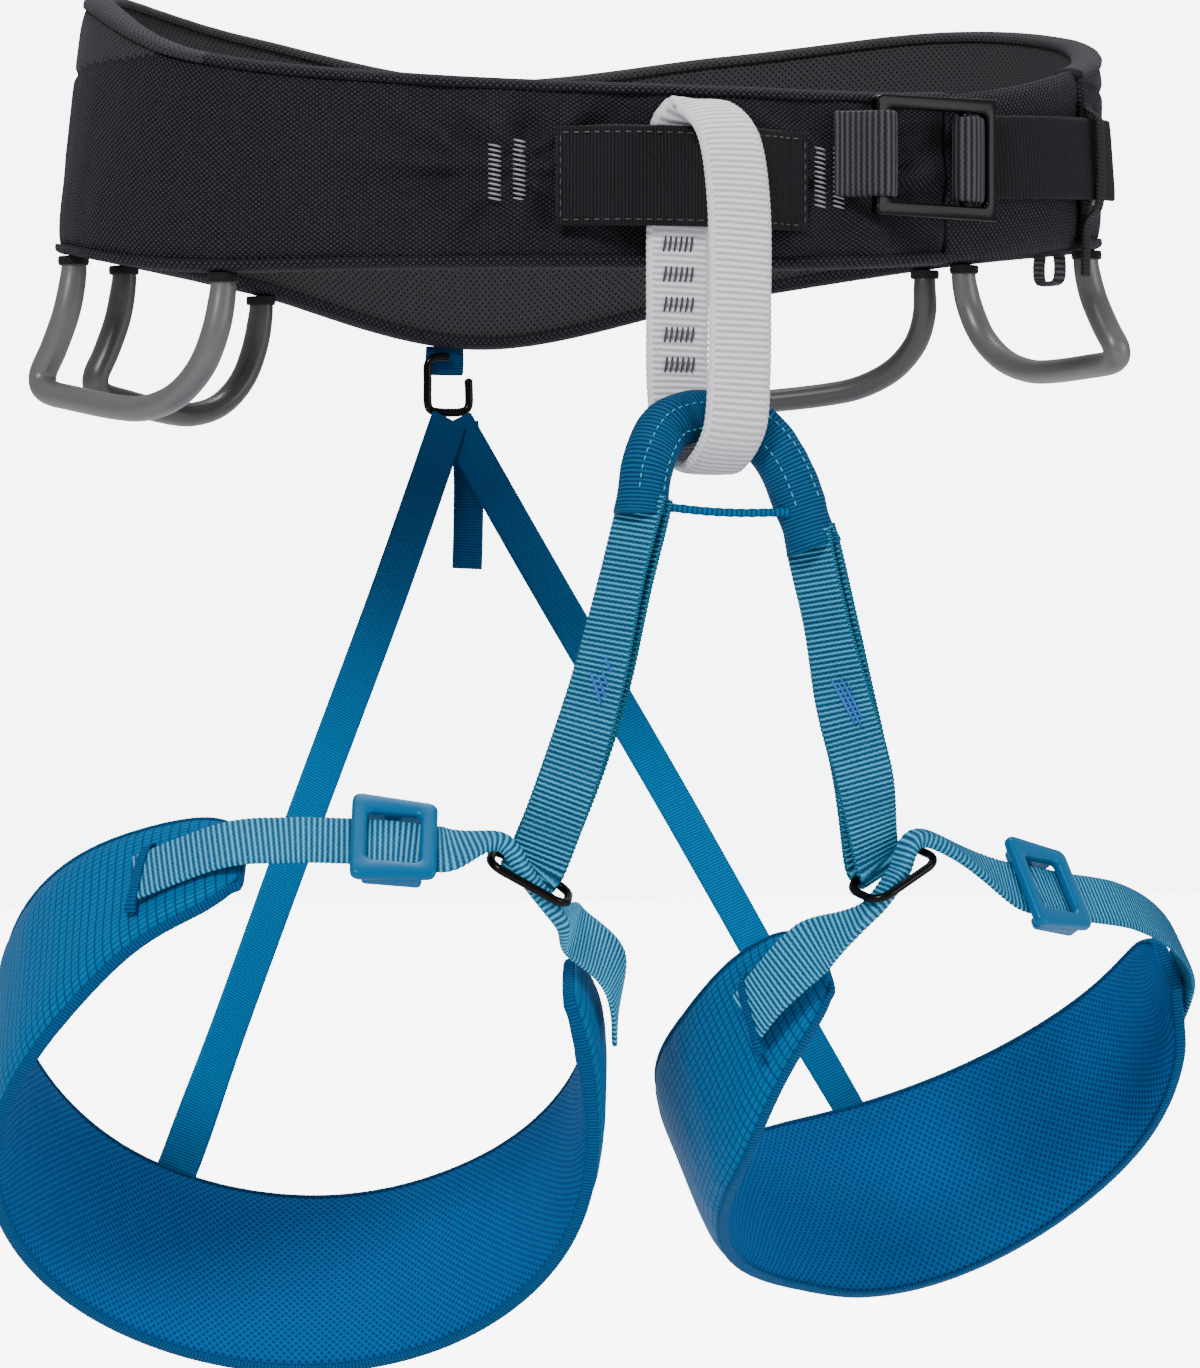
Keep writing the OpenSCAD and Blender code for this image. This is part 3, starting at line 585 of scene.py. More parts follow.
# ------------------------------------------------------------------ waist belt
N_ALONG = 900
angles = np.linspace(BELT_FROM, BELT_TO, N_ALONG)
belt_u = lengths(belt_point(angles, 0, 0))
belt_low, belt_high = around(BOTTOM, angles), around(TOP, angles)
TACKS_X = (-47.0, -41.0, 39.0, 44.4)
N_UP = 44          # points up the outer cloth
SEAM_Z = 32.4      # the outer cloth ends here and mesh goes on to the belt's upper edge


def belt_wrinkles(a, z):
    """How far the outer fabric stands out or in at an angle and height."""
    u = np.interp(a, angles, belt_u)
    broad = noise(np.stack([u, z * 0.6], -1), 26, 1) * 0.9
    fine = noise(np.stack([u, z * 0.5], -1), 7, 2) * 0.22
    out = broad + fine
    for x, reach, lift in ((TACKS_X[0], 26, 2.3), (-32, 26, 1.9), (44, 20, 1.8), (50, 16, 1.2)):
        du = (a - (belt_angle(x) + 360)) * 2.45
        r = np.hypot(du, z) + 1e-6
        turn = np.arctan2(z, du)
        rays = np.sin(turn * 9 + 3 * np.sin(turn * 2)) * 0.6 + np.sin(turn * 5 + 1) * 0.4
        out = out + lift * rays * np.exp(-((r - 13) / reach) ** 2) * np.clip(r / 13, 0, 1) ** 2
    return out


def share_up(n):
    """n places up a face, and how near each one is to the face's edges."""
    t = np.linspace(0, 1, n)
    return t, np.abs(2 * t - 1)


def belt_outer():
    """The puffy outer cloth, down to the inside of the foam."""
    t, edge = share_up(N_UP)
    rings = []
    for a, u, lo, hi in zip(angles, belt_u, belt_low + 0.6, belt_high - 0.6):
        z = lo + (hi - lo) * t
        pucker = np.sin(u / 1.25 + np.sin(a) * 2)
        off = -2.4 * edge ** 9 + 0.28 * pucker * np.exp(-((1 - edge) / 0.12) ** 2)
        off = off + belt_wrinkles(np.full(N_UP, a), z) * (1 - edge ** 6)
        off = off - 0.9 * np.exp(-((z - SEAM_Z) / 1.1) ** 2)
        end = min(a - BELT_FROM, BELT_TO - a)
        off = off - 2.0 * math.exp(-(end / 0.7) ** 2)
        rings.append(belt_point(a, np.r_[off, -5.5, -5.5], np.r_[z, hi - 0.6, lo + 0.6]))
    above = np.array([r[:N_UP, 2] > SEAM_Z for r in rings])

    def cloth(i, j):
        return (above[np.minimum(i, len(rings) - 1), np.minimum(j, N_UP - 1)]
                & (j < N_UP)).astype(int)

    return ribbon_body("belt_outer", rings, belt_u, ["twill", "mesh"], flip=True, mat_of=cloth)


def belt_inner():
    """The soft mesh inside the belt."""
    t, edge = share_up(24)
    rings = []
    for a, u, lo, hi in zip(angles, belt_u, belt_low + 0.5, belt_high - 0.5):
        z = lo + (hi - lo) * t
        soft = noise(np.stack([np.full(24, u), z], -1), 22, 5) * 0.5
        pucker = 0.25 * np.sin(u / 1.4) * np.exp(-((1 - edge) / 0.14) ** 2)
        off = -BELT_T + 2.2 * edge ** 8 - (soft + pucker) * (1 - edge ** 8)
        rings.append(belt_point(a, np.r_[off, -5.0, -5.0], np.r_[z, hi - 0.8, lo + 0.8]))
    return ribbon_body("belt_inner", rings, belt_u, "mesh")


def edge_tape(name, edge, side):
    """Woven tape folded over an edge of the belt."""
    rings = []
    turn = np.linspace(0.5 * math.pi, -0.5 * math.pi, 9)
    dz = np.r_[-2.6, 1.9 * np.cos(turn) - 1.4, -2.6, -2.3, -2.3]
    heights = around(edge, angles)
    for a, z, u in zip(angles, heights, belt_u):
        half = 4.1 + 0.12 * math.sin(u / 2.1) + 0.12 * math.sin(u / 5.3 + 2)
        off = np.r_[0.15, -4 + half * np.sin(turn), -8.15, -6.6, -1.6]
        rings.append(belt_point(a, off, z - side * 0.3 + side * dz))
    meshy = heights > SEAM_Z
    return ribbon_body(name, rings, belt_u, ["twill", "mesh"], flip=side > 0,
                       mat_of=lambda i, j: meshy[np.minimum(i, len(heights) - 1)].astype(int))


put(belt_outer(), "waist_belt", "belt_fabric", "belt_shell", "belt_foam", "waist_webbing",
    padded=0.75)
put(belt_inner(), "waist_belt", "belt_mesh", "belt_liner", padded=0.6)
put(edge_tape("belt_top_tape", TOP, 1), "waist_belt", "belt_fabric", "top_binding")
put(edge_tape("belt_bottom_tape", BOTTOM, -1), "waist_belt", "belt_fabric", "bottom_binding")


def tongue():
    """The padded flap between the belt's two ends, behind the buckle."""
    aa = np.linspace(BELT_TO - 360 + 0.3, BELT_FROM - 0.3, 80)
    u = lengths(belt_point(aa, 0, 0))
    t, edge = share_up(26)
    rings = []
    for a, lo, hi, uu in zip(aa, around(BOTTOM, aa) + 0.6, around(TOP, aa) - 0.6, u):
        z = lo + (hi - lo) * t
        soft = noise(np.stack([np.full(26, uu), z], -1), 18, 9) * 0.45
        off = np.r_[-1.0 - 2.2 * edge ** 8 + soft * (1 - edge ** 6), 2.0 * edge[::-1] ** 8 - 7]
        rings.append(belt_point(a, off, np.r_[z, z[::-1]]))
    return ribbon_body("belt_tongue_pad", rings, u, "twill", flip=True)


put(tongue(), "waist_belt", "belt_fabric", "belt_tongue", padded=0.7)


def on_belt(angle, off, z=0.0):
    """Axes and origin of a place on the belt: along it, inwards and up."""
    o = np.append(belt_xy(angle, off), z)
    f = math.atan2(BELT_B * math.sin(math.radians(angle)), BELT_A * math.cos(math.radians(angle)))
    c, s = math.cos(f), math.sin(f)
    return np.array([[c, -s, 0], [s, c, 0], [0, 0, 1]]), o


def local_rows(axes, origin, pts, w):
    """Rows of a ribbon from points in a place's own axes, all with one width direction."""
    p = np.asarray(pts, float) @ axes.T + origin
    return np.hstack([p, np.tile(np.asarray(w, float) @ axes.T, (len(p), 1))])


# folded tape down the wing's end, over the strap's tail, and the small grey keeper beside it
wing_axes, wing_o = on_belt(BELT_FROM + 0.2, 0)


def wing_band(name, x, path, width, t, mat, **kw):
    """A band up the wing's end through places given by how far out and how high they are."""
    rows = local_rows(wing_axes, wing_o, [(x, out, z) for out, z in path], (1, 0, 0))
    return webbing(name, curve(rows, 6), width, t, mat, **kw)


wing = wing_band("wing_end_tape", 0.4, [
    (-0.6, -20), (-0.8, -14), (-1.2, -6), (-4.3, -1.6), (-4.9, 4), (-5.0, 10), (-4.8, 17),
    (-4.2, 22.4), (-1.4, 24.8), (-0.7, 27)], 6, 0.9, "binding", rib=0.08, pitch=1.0)
under = wing_band("wing_end_under", 0.4, [(-0.5, -20), (-0.55, 0), (-0.5, 27)], 6, 0.7,
                  "binding")
keeper = wing_band("strap_keeper", 5.6, [(-0.9, -0.5), (-1.6, 7), (-1.6, 14), (-0.9, 21.5)],
                   4.2, 1.1, "grey_tab")
put(join("wing_end", [wing, under, keeper]), "waist_belt", "belt_fabric", "wing_end_binding")

# ------------------------------------------------------------------ tie-in point
PATCH_LOW, PATCH_HIGH = -14.0, 11.5
STAND = [(-32, 1), (-27, 1.6), (-21, 4.6), (-14, 6.4), (1, 6.7), (16, 6.3), (23, 4.4), (29, 1.4),
         (34, 1)]


def stand_off(extra):
    """Rows along the belt's front that stand off it as the tie-in point does."""
    z = (PATCH_LOW + PATCH_HIGH) / 2
    return curve([[*belt_xy(belt_angle(x), np.array(off + extra)), z, 0, 0, 1]
                  for x, off in STAND], 8)


put(webbing("tie_in_webbing", stand_off(0), PATCH_HIGH - PATCH_LOW - 5, 1.2, "web", rib=0.1,
            pitch=1.5), "waist_belt", "black_webbing", "tie_in_loop")


def patch_soft(s, x):
    """Small waves along the patch's two long edges."""
    return 0.22 * np.sin(s / 3.1 + x / 4) * np.exp(-((12.2 - np.abs(x)) / 3) ** 2)


patch_rows = stand_off(1.5)
patch = webbing("tie_in_patch", patch_rows, PATCH_HIGH - PATCH_LOW, 1.2, "fine", step=0.5,
                soft=patch_soft, n_face=40)
_, _, patch_up = frames(patch_rows[:, :3], patch_rows[:, 3:])
patch_out = patch_up * np.sign(np.sum(patch_up * np.array([0, -1, 0]), axis=1))[:, None]
border = []
for dz in (-11.2, 10.9):
    border += stitch_line(patch_rows[2:-2, :3] + patch_out[2:-2] * 0.75 + [0, 0, dz],
                          patch_out[2:-2], 2.7)
for k in (2, -3):
    line = patch_rows[k, :3] + patch_out[k] * 0.75 + np.outer(np.linspace(-11, 11, 12), [0, 0, 1])
    border += stitch_line(line, patch_out[k], 2.7)
put(join("tie_in_sleeve_cloth", [patch, threads("patch_stitches", border, 0.42, "stitch")]),
    "waist_belt", "black_webbing", "tie_in_sleeve")

tacks = []
for x in TACKS_X:
    axes, o = on_belt(belt_angle(x), 0.55, 0)
    tacks += zigzag(o + axes @ [0, 0, 8], [0, 0, -1], axes @ [1, 0, 0], axes @ [0, -1, 0], 16,
                    3.3, 13)
put(threads("bar_tacks", tacks, 0.62, "tack"), "waist_belt", "grey_thread", "belt_bar_tacks")

# ------------------------------------------------------------------ waist buckle and strap
B_AXES, B_O = on_belt(BUCKLE_ANGLE, BUCKLE_OFF, BUCKLE_Z)


def buckle_rows(path):
    """Rows of a strap whose path is given along and across the buckle."""
    return curve(local_rows(B_AXES, B_O, [(x, y, 0) for x, y in path], (0, 0, 1)), 6)


def frame_plate(name, inner, outer, t, mat, round_by):
    """A flat ring between two outlines with the same number of points, with rounded edges."""
    width = np.linalg.norm(outer - inner, axis=1)[:, None]
    r = np.minimum(round_by, width * 0.45)
    quarter = np.linspace(0, 0.5 * math.pi, 5)
    sections = []
    for outside, face in ((0, 1), (1, 1), (1, -1), (0, -1)):
        for a in quarter if outside == (face < 0) else quarter[::-1]:
            x = r * (1 - math.cos(a))
            z = face * (t / 2 - round_by + round_by * math.sin(a))
            share = (width - x if outside else x) / width
            sections.append(np.hstack([inner + (outer - inner) * share,
                                       np.full((len(inner), 1), z)]))
    P = np.stack(sections, axis=1)
    return grid(name, P, lengths(P[:, 0]), np.linspace(0, 10, P.shape[1]), mat, wrap_i=True,
                wrap_j=True)


def spread(points, n, endpoint):
    """n points spread evenly round a closed outline."""
    p = np.vstack([points, points[:1]])
    s = lengths(p)
    t = np.linspace(0, s[-1], n, endpoint=endpoint)
    return np.stack([np.interp(t, s, p[:, 0]), np.interp(t, s, p[:, 1])], axis=1)


def smooth_outline(points, n):
    """n points spread along a closed smooth curve through some corners."""
    return spread(closed_curve(points, 8), n, False)


def rounded_rect(x0, x1, z0, z1, r, n=12):
    """A rectangle's outline with n points round each of its corners."""
    out = []
    for cx, cz, a0 in ((x1 - r, z0 + r, -90), (x1 - r, z1 - r, 0), (x0 + r, z1 - r, 90),
                       (x0 + r, z0 + r, 180)):
        for k in range(n):
            a = math.radians(a0 + 90 * k / (n - 1))
            out.append((cx + r * math.cos(a), cz + r * math.sin(a)))
    return np.array(out)


def radial_match(inner, outer):
    """Outer points in the directions of the inner ones, seen from the middle."""
    mid = inner.mean(axis=0)
    d = spread(outer, 3000, True)
    da = np.arctan2(d[:, 1] - mid[1], d[:, 0] - mid[0])
    out = []
    for p in inner:
        a = math.atan2(p[1] - mid[1], p[0] - mid[0])
        diff = np.abs((da - a + math.pi) % (2 * math.pi) - math.pi)
        out.append(d[np.argmin(diff)])
    return np.array(out)


WINGS = [(-21.6, 12.2), (-21.9, 14.6), (-17, 15.9), (-8, 16.9), (2, 17.7), (12, 18), (17.4, 17.3),
         (18.8, 14.6), (18, 10), (17.7, 4), (17.7, -4), (18, -10), (18.8, -14.4), (17.2, -17),
         (12, -17.7), (2, -17.5), (-8, -17), (-17, -16.4), (-21.9, -15), (-21.6, -12.2),
         (-21.2, -6), (-21.2, 6)]
window = rounded_rect(-17.5, 15.2, -12.1, 12.1, 1.6)
plate = frame_plate("buckle_plate", window, radial_match(window, smooth_outline(WINGS, 240)), 3,
                    "metal", 0.9)
bar = tube("buckle_bar", [(9, 0, -13), (9, 0, 0), (9, 0, 13)], 3.6, (1, 0, 0), "metal")
move(plate, B_AXES @ np.array([[1, 0, 0], [0, 0, -1], [0, 1, 0]]), B_O)
move(bar, B_AXES, B_O)
put(join("waist_buckle_metal", [plate, bar]), "waist_buckle", "black_metal", "waist_buckle")

put(webbing("anchor_webbing", buckle_rows(
    [(-30, 5.9), (-28, 5.2), (-25.5, 2.8), (-22.6, -1.2), (-20.3, -3.1), (-17.8, -2.9),
     (-16.1, -1.4), (-15.9, 0.4), (-16.8, 2.2), (-19.3, 3.2), (-22.5, 4.1), (-26, 5.0),
     (-28, 5.5)]), WEB, 1.3, "web", rib=0.2, pitch=1.5, n_face=16),
    "waist_belt", "black_webbing", "buckle_webbing")
put(webbing("strap_round_bar", buckle_rows(
    [(13.6, 2.5), (11, 2.75), (8.6, 2.8), (6.5, 1.6), (6.1, 0), (6.5, -1.7), (8.8, -2.75),
     (11.5, -2.4), (13.6, -1.2)]), WEB, 1.2, "web", rib=0.14, pitch=1.5, n_face=16),
    "waist_buckle", "black_webbing", "strap_turn")
STRAP_FROM = 71                   # the strap rises from here on
arc = np.radians(np.linspace(20, 52, 60))
rise = math.radians(STRAP_RISE)
strap_x = STRAP_C[0] + STRAP_R * np.sin(arc) - STRAP_FROM
strap_rows = np.stack([STRAP_FROM + strap_x * math.cos(rise), STRAP_C[1] - STRAP_R * np.cos(arc),
                       STRAP_Z + strap_x * math.sin(rise), 0 * arc - math.sin(rise), 0 * arc,
                       0 * arc + math.cos(rise)], axis=1)
# the waist strap uses the darker copy of the black webbing, painted shade
put(webbing("waist_strap_webbing", strap_rows, WEB, WEB_T, "web_dim", rib=0.2, pitch=1.5,
            n_face=18), "waist_strap", "black_webbing", "waist_strap")

# ------------------------------------------------------------------ gear loops
GEAR_D, GEAR_DROP = 7.2, 30.0
GEARS = {"front_right": (269, 305, 6, 3), "rear_right": (233, 208, 6, 2),
         "front_left": (72, 115.6, 6, -3), "rear_left": (147, 122.4, 6, -4)}
GEAR_OUTLINE = [(0, 0), (-0.01, 0.3), (-0.06, 0.6), (-0.11, 0.83), (-0.06, 0.95), (0.12, 0.98),
                (0.43, 1), (0.62, 0.97), (0.8, 0.84), (0.93, 0.6), (0.99, 0.3), (1, 0)]
PIVOT_DROP = GEAR_D / 2 + 1.4
GEAR_IN_BELT = 5.0


def gear_end(angle):
    """The pivot of a gear loop's end under the belt."""
    return np.append(belt_xy(angle, np.array(-4.0)), around(BOTTOM, angle)[0] - PIVOT_DROP)


tabs = []
for gname, (a0, a1, stand, deeper) in GEARS.items():
    p, q = gear_end(a0), gear_end(a1)
    mid = (a0 + a1) / 2
    out = np.append(belt_xy(mid, np.array(1.0)) - belt_xy(mid, np.array(0.0)), 0)
    path = [p + (q - p) * x + out * stand * y - np.array([0, 0, (GEAR_DROP + deeper) * y])
            for x, y in GEAR_OUTLINE]
    front = gname.startswith("front")
    up = np.array([0, 0, GEAR_IN_BELT])
    loop = tube("gear_" + gname, curve([p + up] + path + [q + up], 6), GEAR_D, out,
                "grey_front" if front else "grey_rear", sides=28,
                shape=lambda s, a: 1 - 0.07 * np.cos(2 * a) - 0.10 * np.exp(
                    -(np.minimum(s, 1 - s) / 0.06) ** 2))
    put(loop, "gear_loop_" + gname, "moulded_grey", "gear_loop_" + gname)
    for end in (p, q):
        a = np.arange(28) * 2 * math.pi / 28
        h = np.linspace(PIVOT_DROP - 2.6, PIVOT_DROP - 0.3, 9)[:, None]
        r = GEAR_D / 2 + 0.35 + 0.2 * np.sin(np.arange(9) * math.pi / 8)[:, None]
        rings = end + np.stack([r * np.cos(a), r * np.sin(a), h + 0 * a], axis=-1)
        tabs.append(grid("tab", rings, np.arange(9) * 0.6, a * 4, "binding", wrap_j=True,
                         caps=True))
put(join("gear_loop_collars", tabs), "waist_belt", "belt_fabric", "gear_loop_tabs")

slot_axes, slot_o = on_belt(96, -4, float(around(BOTTOM, 96)[0]))
put(webbing("ice_slot", curve(local_rows(slot_axes, slot_o, [
    (-5, 0, 0), (-5.6, 0, -3.5), (-4.6, 0, -7.2), (0, 0, -7.8), (4.6, 0, -7.2), (5.6, 0, -3.5),
    (5, 0, 0)], (0, 1, 0)), 6), 4, 1.3, "web", rib=0.1),
    "waist_belt", "black_webbing", "ice_clipper_slot")

# ------------------------------------------------------------------ back of the belt
HX, HY, HZ = BELT_C[0], 105.0, -2.0


def upright(x, y, z, path):
    """Rows of a strap that runs up or down the back, its width from side to side."""
    return curve([(x, y + dy, z + dz, 1, 0, 0) for dy, dz in path], 6)


put(webbing("haul_anchor_webbing", upright(HX, HY, HZ, [
    (0.9, -3), (1.2, 0.5), (3.8, 1.6), (4.3, 3.4), (3.0, 5.2), (1.6, 7.5), (1.0, 10.5)]),
    16, 1.1, "web", rib=0.12), "waist_belt", "black_webbing", "haul_loop_anchor")
haul_half = [(10.5, 0, 0), (11.5, 1.2, -14), (8.5, 1.8, -27)]
haul_path = [(-x, y, z) for x, y, z in haul_half] + [(0, 2, -31)] + haul_half[::-1]
haul_path = np.array(haul_path) + [HX, HY + 2.5, HZ + 2.2]
put(tube("haul_cord", closed_curve(haul_path, 6), 3.3, (0, 1, 0.1), "web", sides=14,
         closed=True), "haul_loop", "black_webbing", "haul_loop")

EY, EZ = 102.0, BOTTOM[0][6] - 0.4
put(webbing("rear_elastic", upright(0, EY, EZ, [
    (-0.4, 1), (-0.75, -3), (-0.2, -6.6), (0.6, -6.2), (0.8, -3), (0.4, 1)]), 11, 0.7,
    "elastic", rib=0.05), "waist_belt", "blue_elastic", "rear_elastic_loop")

# ------------------------------------------------------------------ belay loop
BELAY = [(2.5, -108, 15.9), (-0.5, -102.6, 14.1), (-0.8, -99.8, 9), (-1.2, -99.5, -4),
         (-1.5, -99.7, -18), (-2, -101, -35), (-2.5, -102.5, -54), (-2, -106.6, -68),
         (0.4, -118, -75.4), (2.3, -130.2, -67.5), (3.2, -132, -54), (3.8, -131, -34),
         (5, -127, -10), (5, -119.5, 8)]
belay_rows = closed_curve([(*p, 1, 0.04, 0) for p in BELAY], 10)
belay = webbing("belay_webbing", belay_rows, BELAY_W, BELAY_T, "white_web", closed=True, step=0.27,
                rib=0.2, pitch=1.62, n_face=18, crown=0.25, edge_mat="white_edge",
                soft=lambda s, x: 0.12 * np.sin(s / 19) * x / 8)
marks = []
for k in range(5):
    z = -20.2 - 7.7 * k
    y = np.interp(-z, [18, 35, 54], [-99.7, -101, -102.5]) - 2.15
    marks += zigzag((-6.2 - 0.12 * k, y, z + 1.9), [1, 0.04, 0], [0, 0.08, 1], [0, -1, 0], 8.8,
                    3.9, 6)
belay = join("belay_loop_cloth", [belay, threads("belay_stitches", marks, 0.75, "tack_dark")])
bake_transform(belay)
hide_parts("belay_loop", "belay_loop_tacks")

# ------------------------------------------------------------------ bridge
SLEEVE = [(-20.5, -126, -88), (-18.5, -124.5, -76), (-13, -121, -66.6), (-6, -118, -63.2),
          (0, -117.2, -62.8), (7, -117.4, -63.3), (14, -119, -67.2), (20, -122, -77),
          (26, -125, -96)]
sleeve_line = curve(SLEEVE, 10)


def sleeve_shape(s, a):
    """Flared hems, a flattened section and the crinkles of the cloth."""
    end = np.minimum(s, 1 - s)
    flare = 0.07 * np.exp(-(end / 0.035) ** 2) - 0.05 * np.exp(-((end - 0.08) / 0.05) ** 2)
    crinkle = 0.03 * np.sin(s * 95 + 3 * np.sin(a)) * np.clip(np.cos(a - 1.4), 0, 1) ** 2
    return 0.96 + flare + crinkle + 0.012 * np.sin(s * 31 + a * 2)


sleeve = tube("sleeve_cloth", sleeve_line, SLEEVE_D, (0, 1, 0), "sleeve", sides=40,
              shape=sleeve_shape, step=0.5, round_ends=False)
s_along = directions(sleeve_line)
s_u = unit(np.cross(s_along, [0, 1, 0]))
s_v = np.cross(s_along, s_u)
seams = []
for turn_deg in (62, 118):
    a = math.radians(turn_deg)
    out = s_u * math.cos(a) + s_v * math.sin(a)
    if out[40, 1] > 0:
        out = s_u * math.cos(a) - s_v * math.sin(a)
    seams += stitch_line((sleeve_line + out * 6.85)[5:-5], out[5:-5], 2.3, 0.55)
put(join("bridge_sleeve_cloth", [sleeve, threads("sleeve_stitches", seams, 0.4, "stitch_blue")]),
    "leg_bridge", "blue_sleeve", "bridge_sleeve")

CY = -127
cord_path = curve([(-16.5, CY, -85.6), (-5, CY - 0.5, -86.8), (6, CY - 0.6, -87.2),
                   (19.5, CY, -86.8)], 12)
cord = tube("bridge_cord_braid", cord_path, 2.2, (0, 1, 0), "cord", sides=14, step=0.3,
            shape=lambda s, a: 1 + 0.06 * np.sin(s * 75 + 2 * a))
put(cord, "leg_bridge", "blue_elastic", "bridge_cord")

RING_L, RING_S, WIRE = 21.8, 12.0, 2.2
RIGHT_AT, LEFT_AT = np.array([-48.5, -122, -178.0]), np.array([48.5, -122, -178.0])


def square_to(v, along):
    """The part of v that is square to along, as a unit vector."""
    v, along = np.asarray(v, float), np.asarray(along, float)
    return unit(v - along * (along @ v))


def ring_axes(m):
    """Directions along a ring, across it and out of its plane."""
    e1 = unit([-m * 0.85, -0.2, -0.48])
    e2 = square_to([-m * 0.25, 0.8, 0.3], e1)
    return e1, e2, np.cross(e1, e2)


def ring(name, at, axes):
    """A rounded wire rectangle."""
    outline = rounded_rect(-RING_L / 2, RING_L / 2, -RING_S / 2, RING_S / 2, 4.2, 10)
    path = np.array([at + axes[0] * x + axes[1] * y for x, y in outline])
    return tube(name, path, WIRE, axes[2], "metal", sides=16, closed=True, step=0.5)


STRAP_APART = 1.7   # from the middle of a bridge strap to each of its two layers


def bridge_strap(name, top, mids, at, axes):
    """A strap from the sleeve down, round a ring's wire and back up behind itself."""
    e2 = axes[1]
    wire = at + e2 * RING_S / 2
    clear = WIRE / 2 + 0.35 + WEB_T / 2
    down = square_to(wire - top, axes[0])
    side = np.cross(axes[0], down)
    side = side * (1 if side @ e2 > 0 else -1)
    w = axes[0] * np.sign(axes[0][0])
    top_w = np.array([0.53, -0.85, 0])
    mids = np.array(mids, float)
    widths = [top_w * (1 - k / 3) + w * k / 3 for k in range(3)]
    apart = []
    for v in widths:
        n = unit(np.cross(v, down))
        apart.append(n * math.copysign(STRAP_APART, n @ side))
    inside = unit(top - mids[0]) * 7
    rows = [np.r_[top + inside - apart[0] * 0.7, top_w], np.r_[top - apart[0], top_w]]
    rows += [np.r_[m - d, v] for m, d, v in zip(mids, apart, widths)]
    rows += [np.r_[wire + d, w] for d in (
        -side * clear - down * 4.5, -side * clear, (down - side) * clear * 0.75, down * clear,
        (down + side) * clear * 0.75, side * clear, side * clear - down * 4.5)]
    rows += [np.r_[m + d, v] for m, d, v in zip(mids[::-1], apart[::-1], widths[::-1])]
    rows += [np.r_[top + apart[0], top_w], np.r_[top + inside + apart[0] * 0.7, top_w]]
    return webbing(name, curve(rows, 10), LEG_WEB, WEB_T, "web_blue", rib=0.24, pitch=1.2,
                   step=0.24, n_face=16, edge_mat="web_edge")


R_AXES, L_AXES = ring_axes(-1), ring_axes(1)
put(bridge_strap("bridge_webbing_right", np.array([-20.8, -126, -89.7]),
                 [(-25, -125.8, -106), (-31, -125, -130), (-38, -123.5, -152)], RIGHT_AT,
                 R_AXES), "leg_bridge", "blue_webbing", "bridge_strap_right")
put(bridge_strap("bridge_webbing_left", np.array([26.3, -125, -97.8]),
                 [(30.5, -125, -115), (34.5, -124.5, -134), (40, -123, -154)], LEFT_AT, L_AXES),
    "leg_bridge", "blue_webbing", "bridge_strap_left")
put(ring("ring_right_wire", RIGHT_AT, R_AXES), "leg_bridge", "black_metal", "ring_right")
put(ring("ring_left_wire", LEFT_AT, L_AXES), "leg_bridge", "black_metal", "ring_left")


def slanted_tack(at, along, across, length, width, count):
    """Long threads side by side, aslant over a strap."""
    at, along, across = np.array(at, float), unit(along), unit(across)
    out = []
    for k in range(count):
        p = at + across * width * (k / (count - 1) - 0.5) + along * (k % 2) * 1.1
        out.append((p - along * length / 2, p + along * length / 2, [0, -1, 0]))
    return out


bridge_marks = slanted_tack((-31.8, -128.6, -131), (0.35, 0.02, -0.94), (1, 0.02, 0.1), 9, 3.2, 3)
bridge_marks += slanted_tack((-28.8, -128.8, -127), (0.4, 0.02, -0.92), (1, 0.02, 0.1), 8, 1.2, 2)
bridge_marks += slanted_tack((35, -128.2, -134), (0.5, 0.02, -0.86), (1, 0.02, 0.2), 13, 5, 5)
put(threads("bridge_bar_tacks", bridge_marks, 0.75, "stitch_deep"), "leg_bridge", "blue_webbing")

# ------------------------------------------------------------------ risers
HOOK_Y = 98.5
hook_path = [(0.6, HOOK_Y, -36.6), (-3.5, HOOK_Y, -36.6), (-6, HOOK_Y, -38.4),
             (-6.2, HOOK_Y, -44), (-6, HOOK_Y, -50.6), (-3.5, HOOK_Y, -52.2),
             (3.5, HOOK_Y, -52.2), (6, HOOK_Y, -50.6), (6.2, HOOK_Y, -46), (6, HOOK_Y, -42.4)]
put(tube("hook_wire", curve(hook_path, 8), 2.4, (0, 1, 0), "metal", sides=16, step=0.4),
    "leg_bridge", "black_metal", "riser_hook")
RISER_TOP = np.array([0, 96.6, -54.6])
RISER_TUCK = 2.5
FOOT_RIGHT, FOOT_LEFT = np.array([-102, 12.5, -257]), np.array([92, 18, -249.0])


def riser(name, foot, side):
    """An elastic strap from the hook to the back of a leg pad, its end tucked in behind it."""
    tucked = unit(foot - RISER_TOP) * 7 + [0, RISER_TUCK, 0]
    rows = [np.r_[RISER_TOP + [side * 1.2, -1.4 + side * 1.3, 0], 0.93, 0, side * 0.35]]
    for share, sag, w in ((0.25, [0, -1.5 + side * 1.2, 1], [0.93, 0, side * 0.35]),
                          (0.55, [0, -1, 1], [0.93, 0.1, side * 0.35]),
                          (0.85, [0, 0, 0], [0.93, 0.2, side * 0.3])):
        rows.append(np.r_[RISER_TOP * (1 - share) + foot * share + sag, w])
    rows += [np.r_[p, 0.95, side * 0.3, side * 0.2] for p in (foot, foot + tucked)]
    return webbing(name, curve(rows, 20), RISER_W, RISER_T, "elastic", rib=0.06, pitch=0.8,
                   n_face=14)


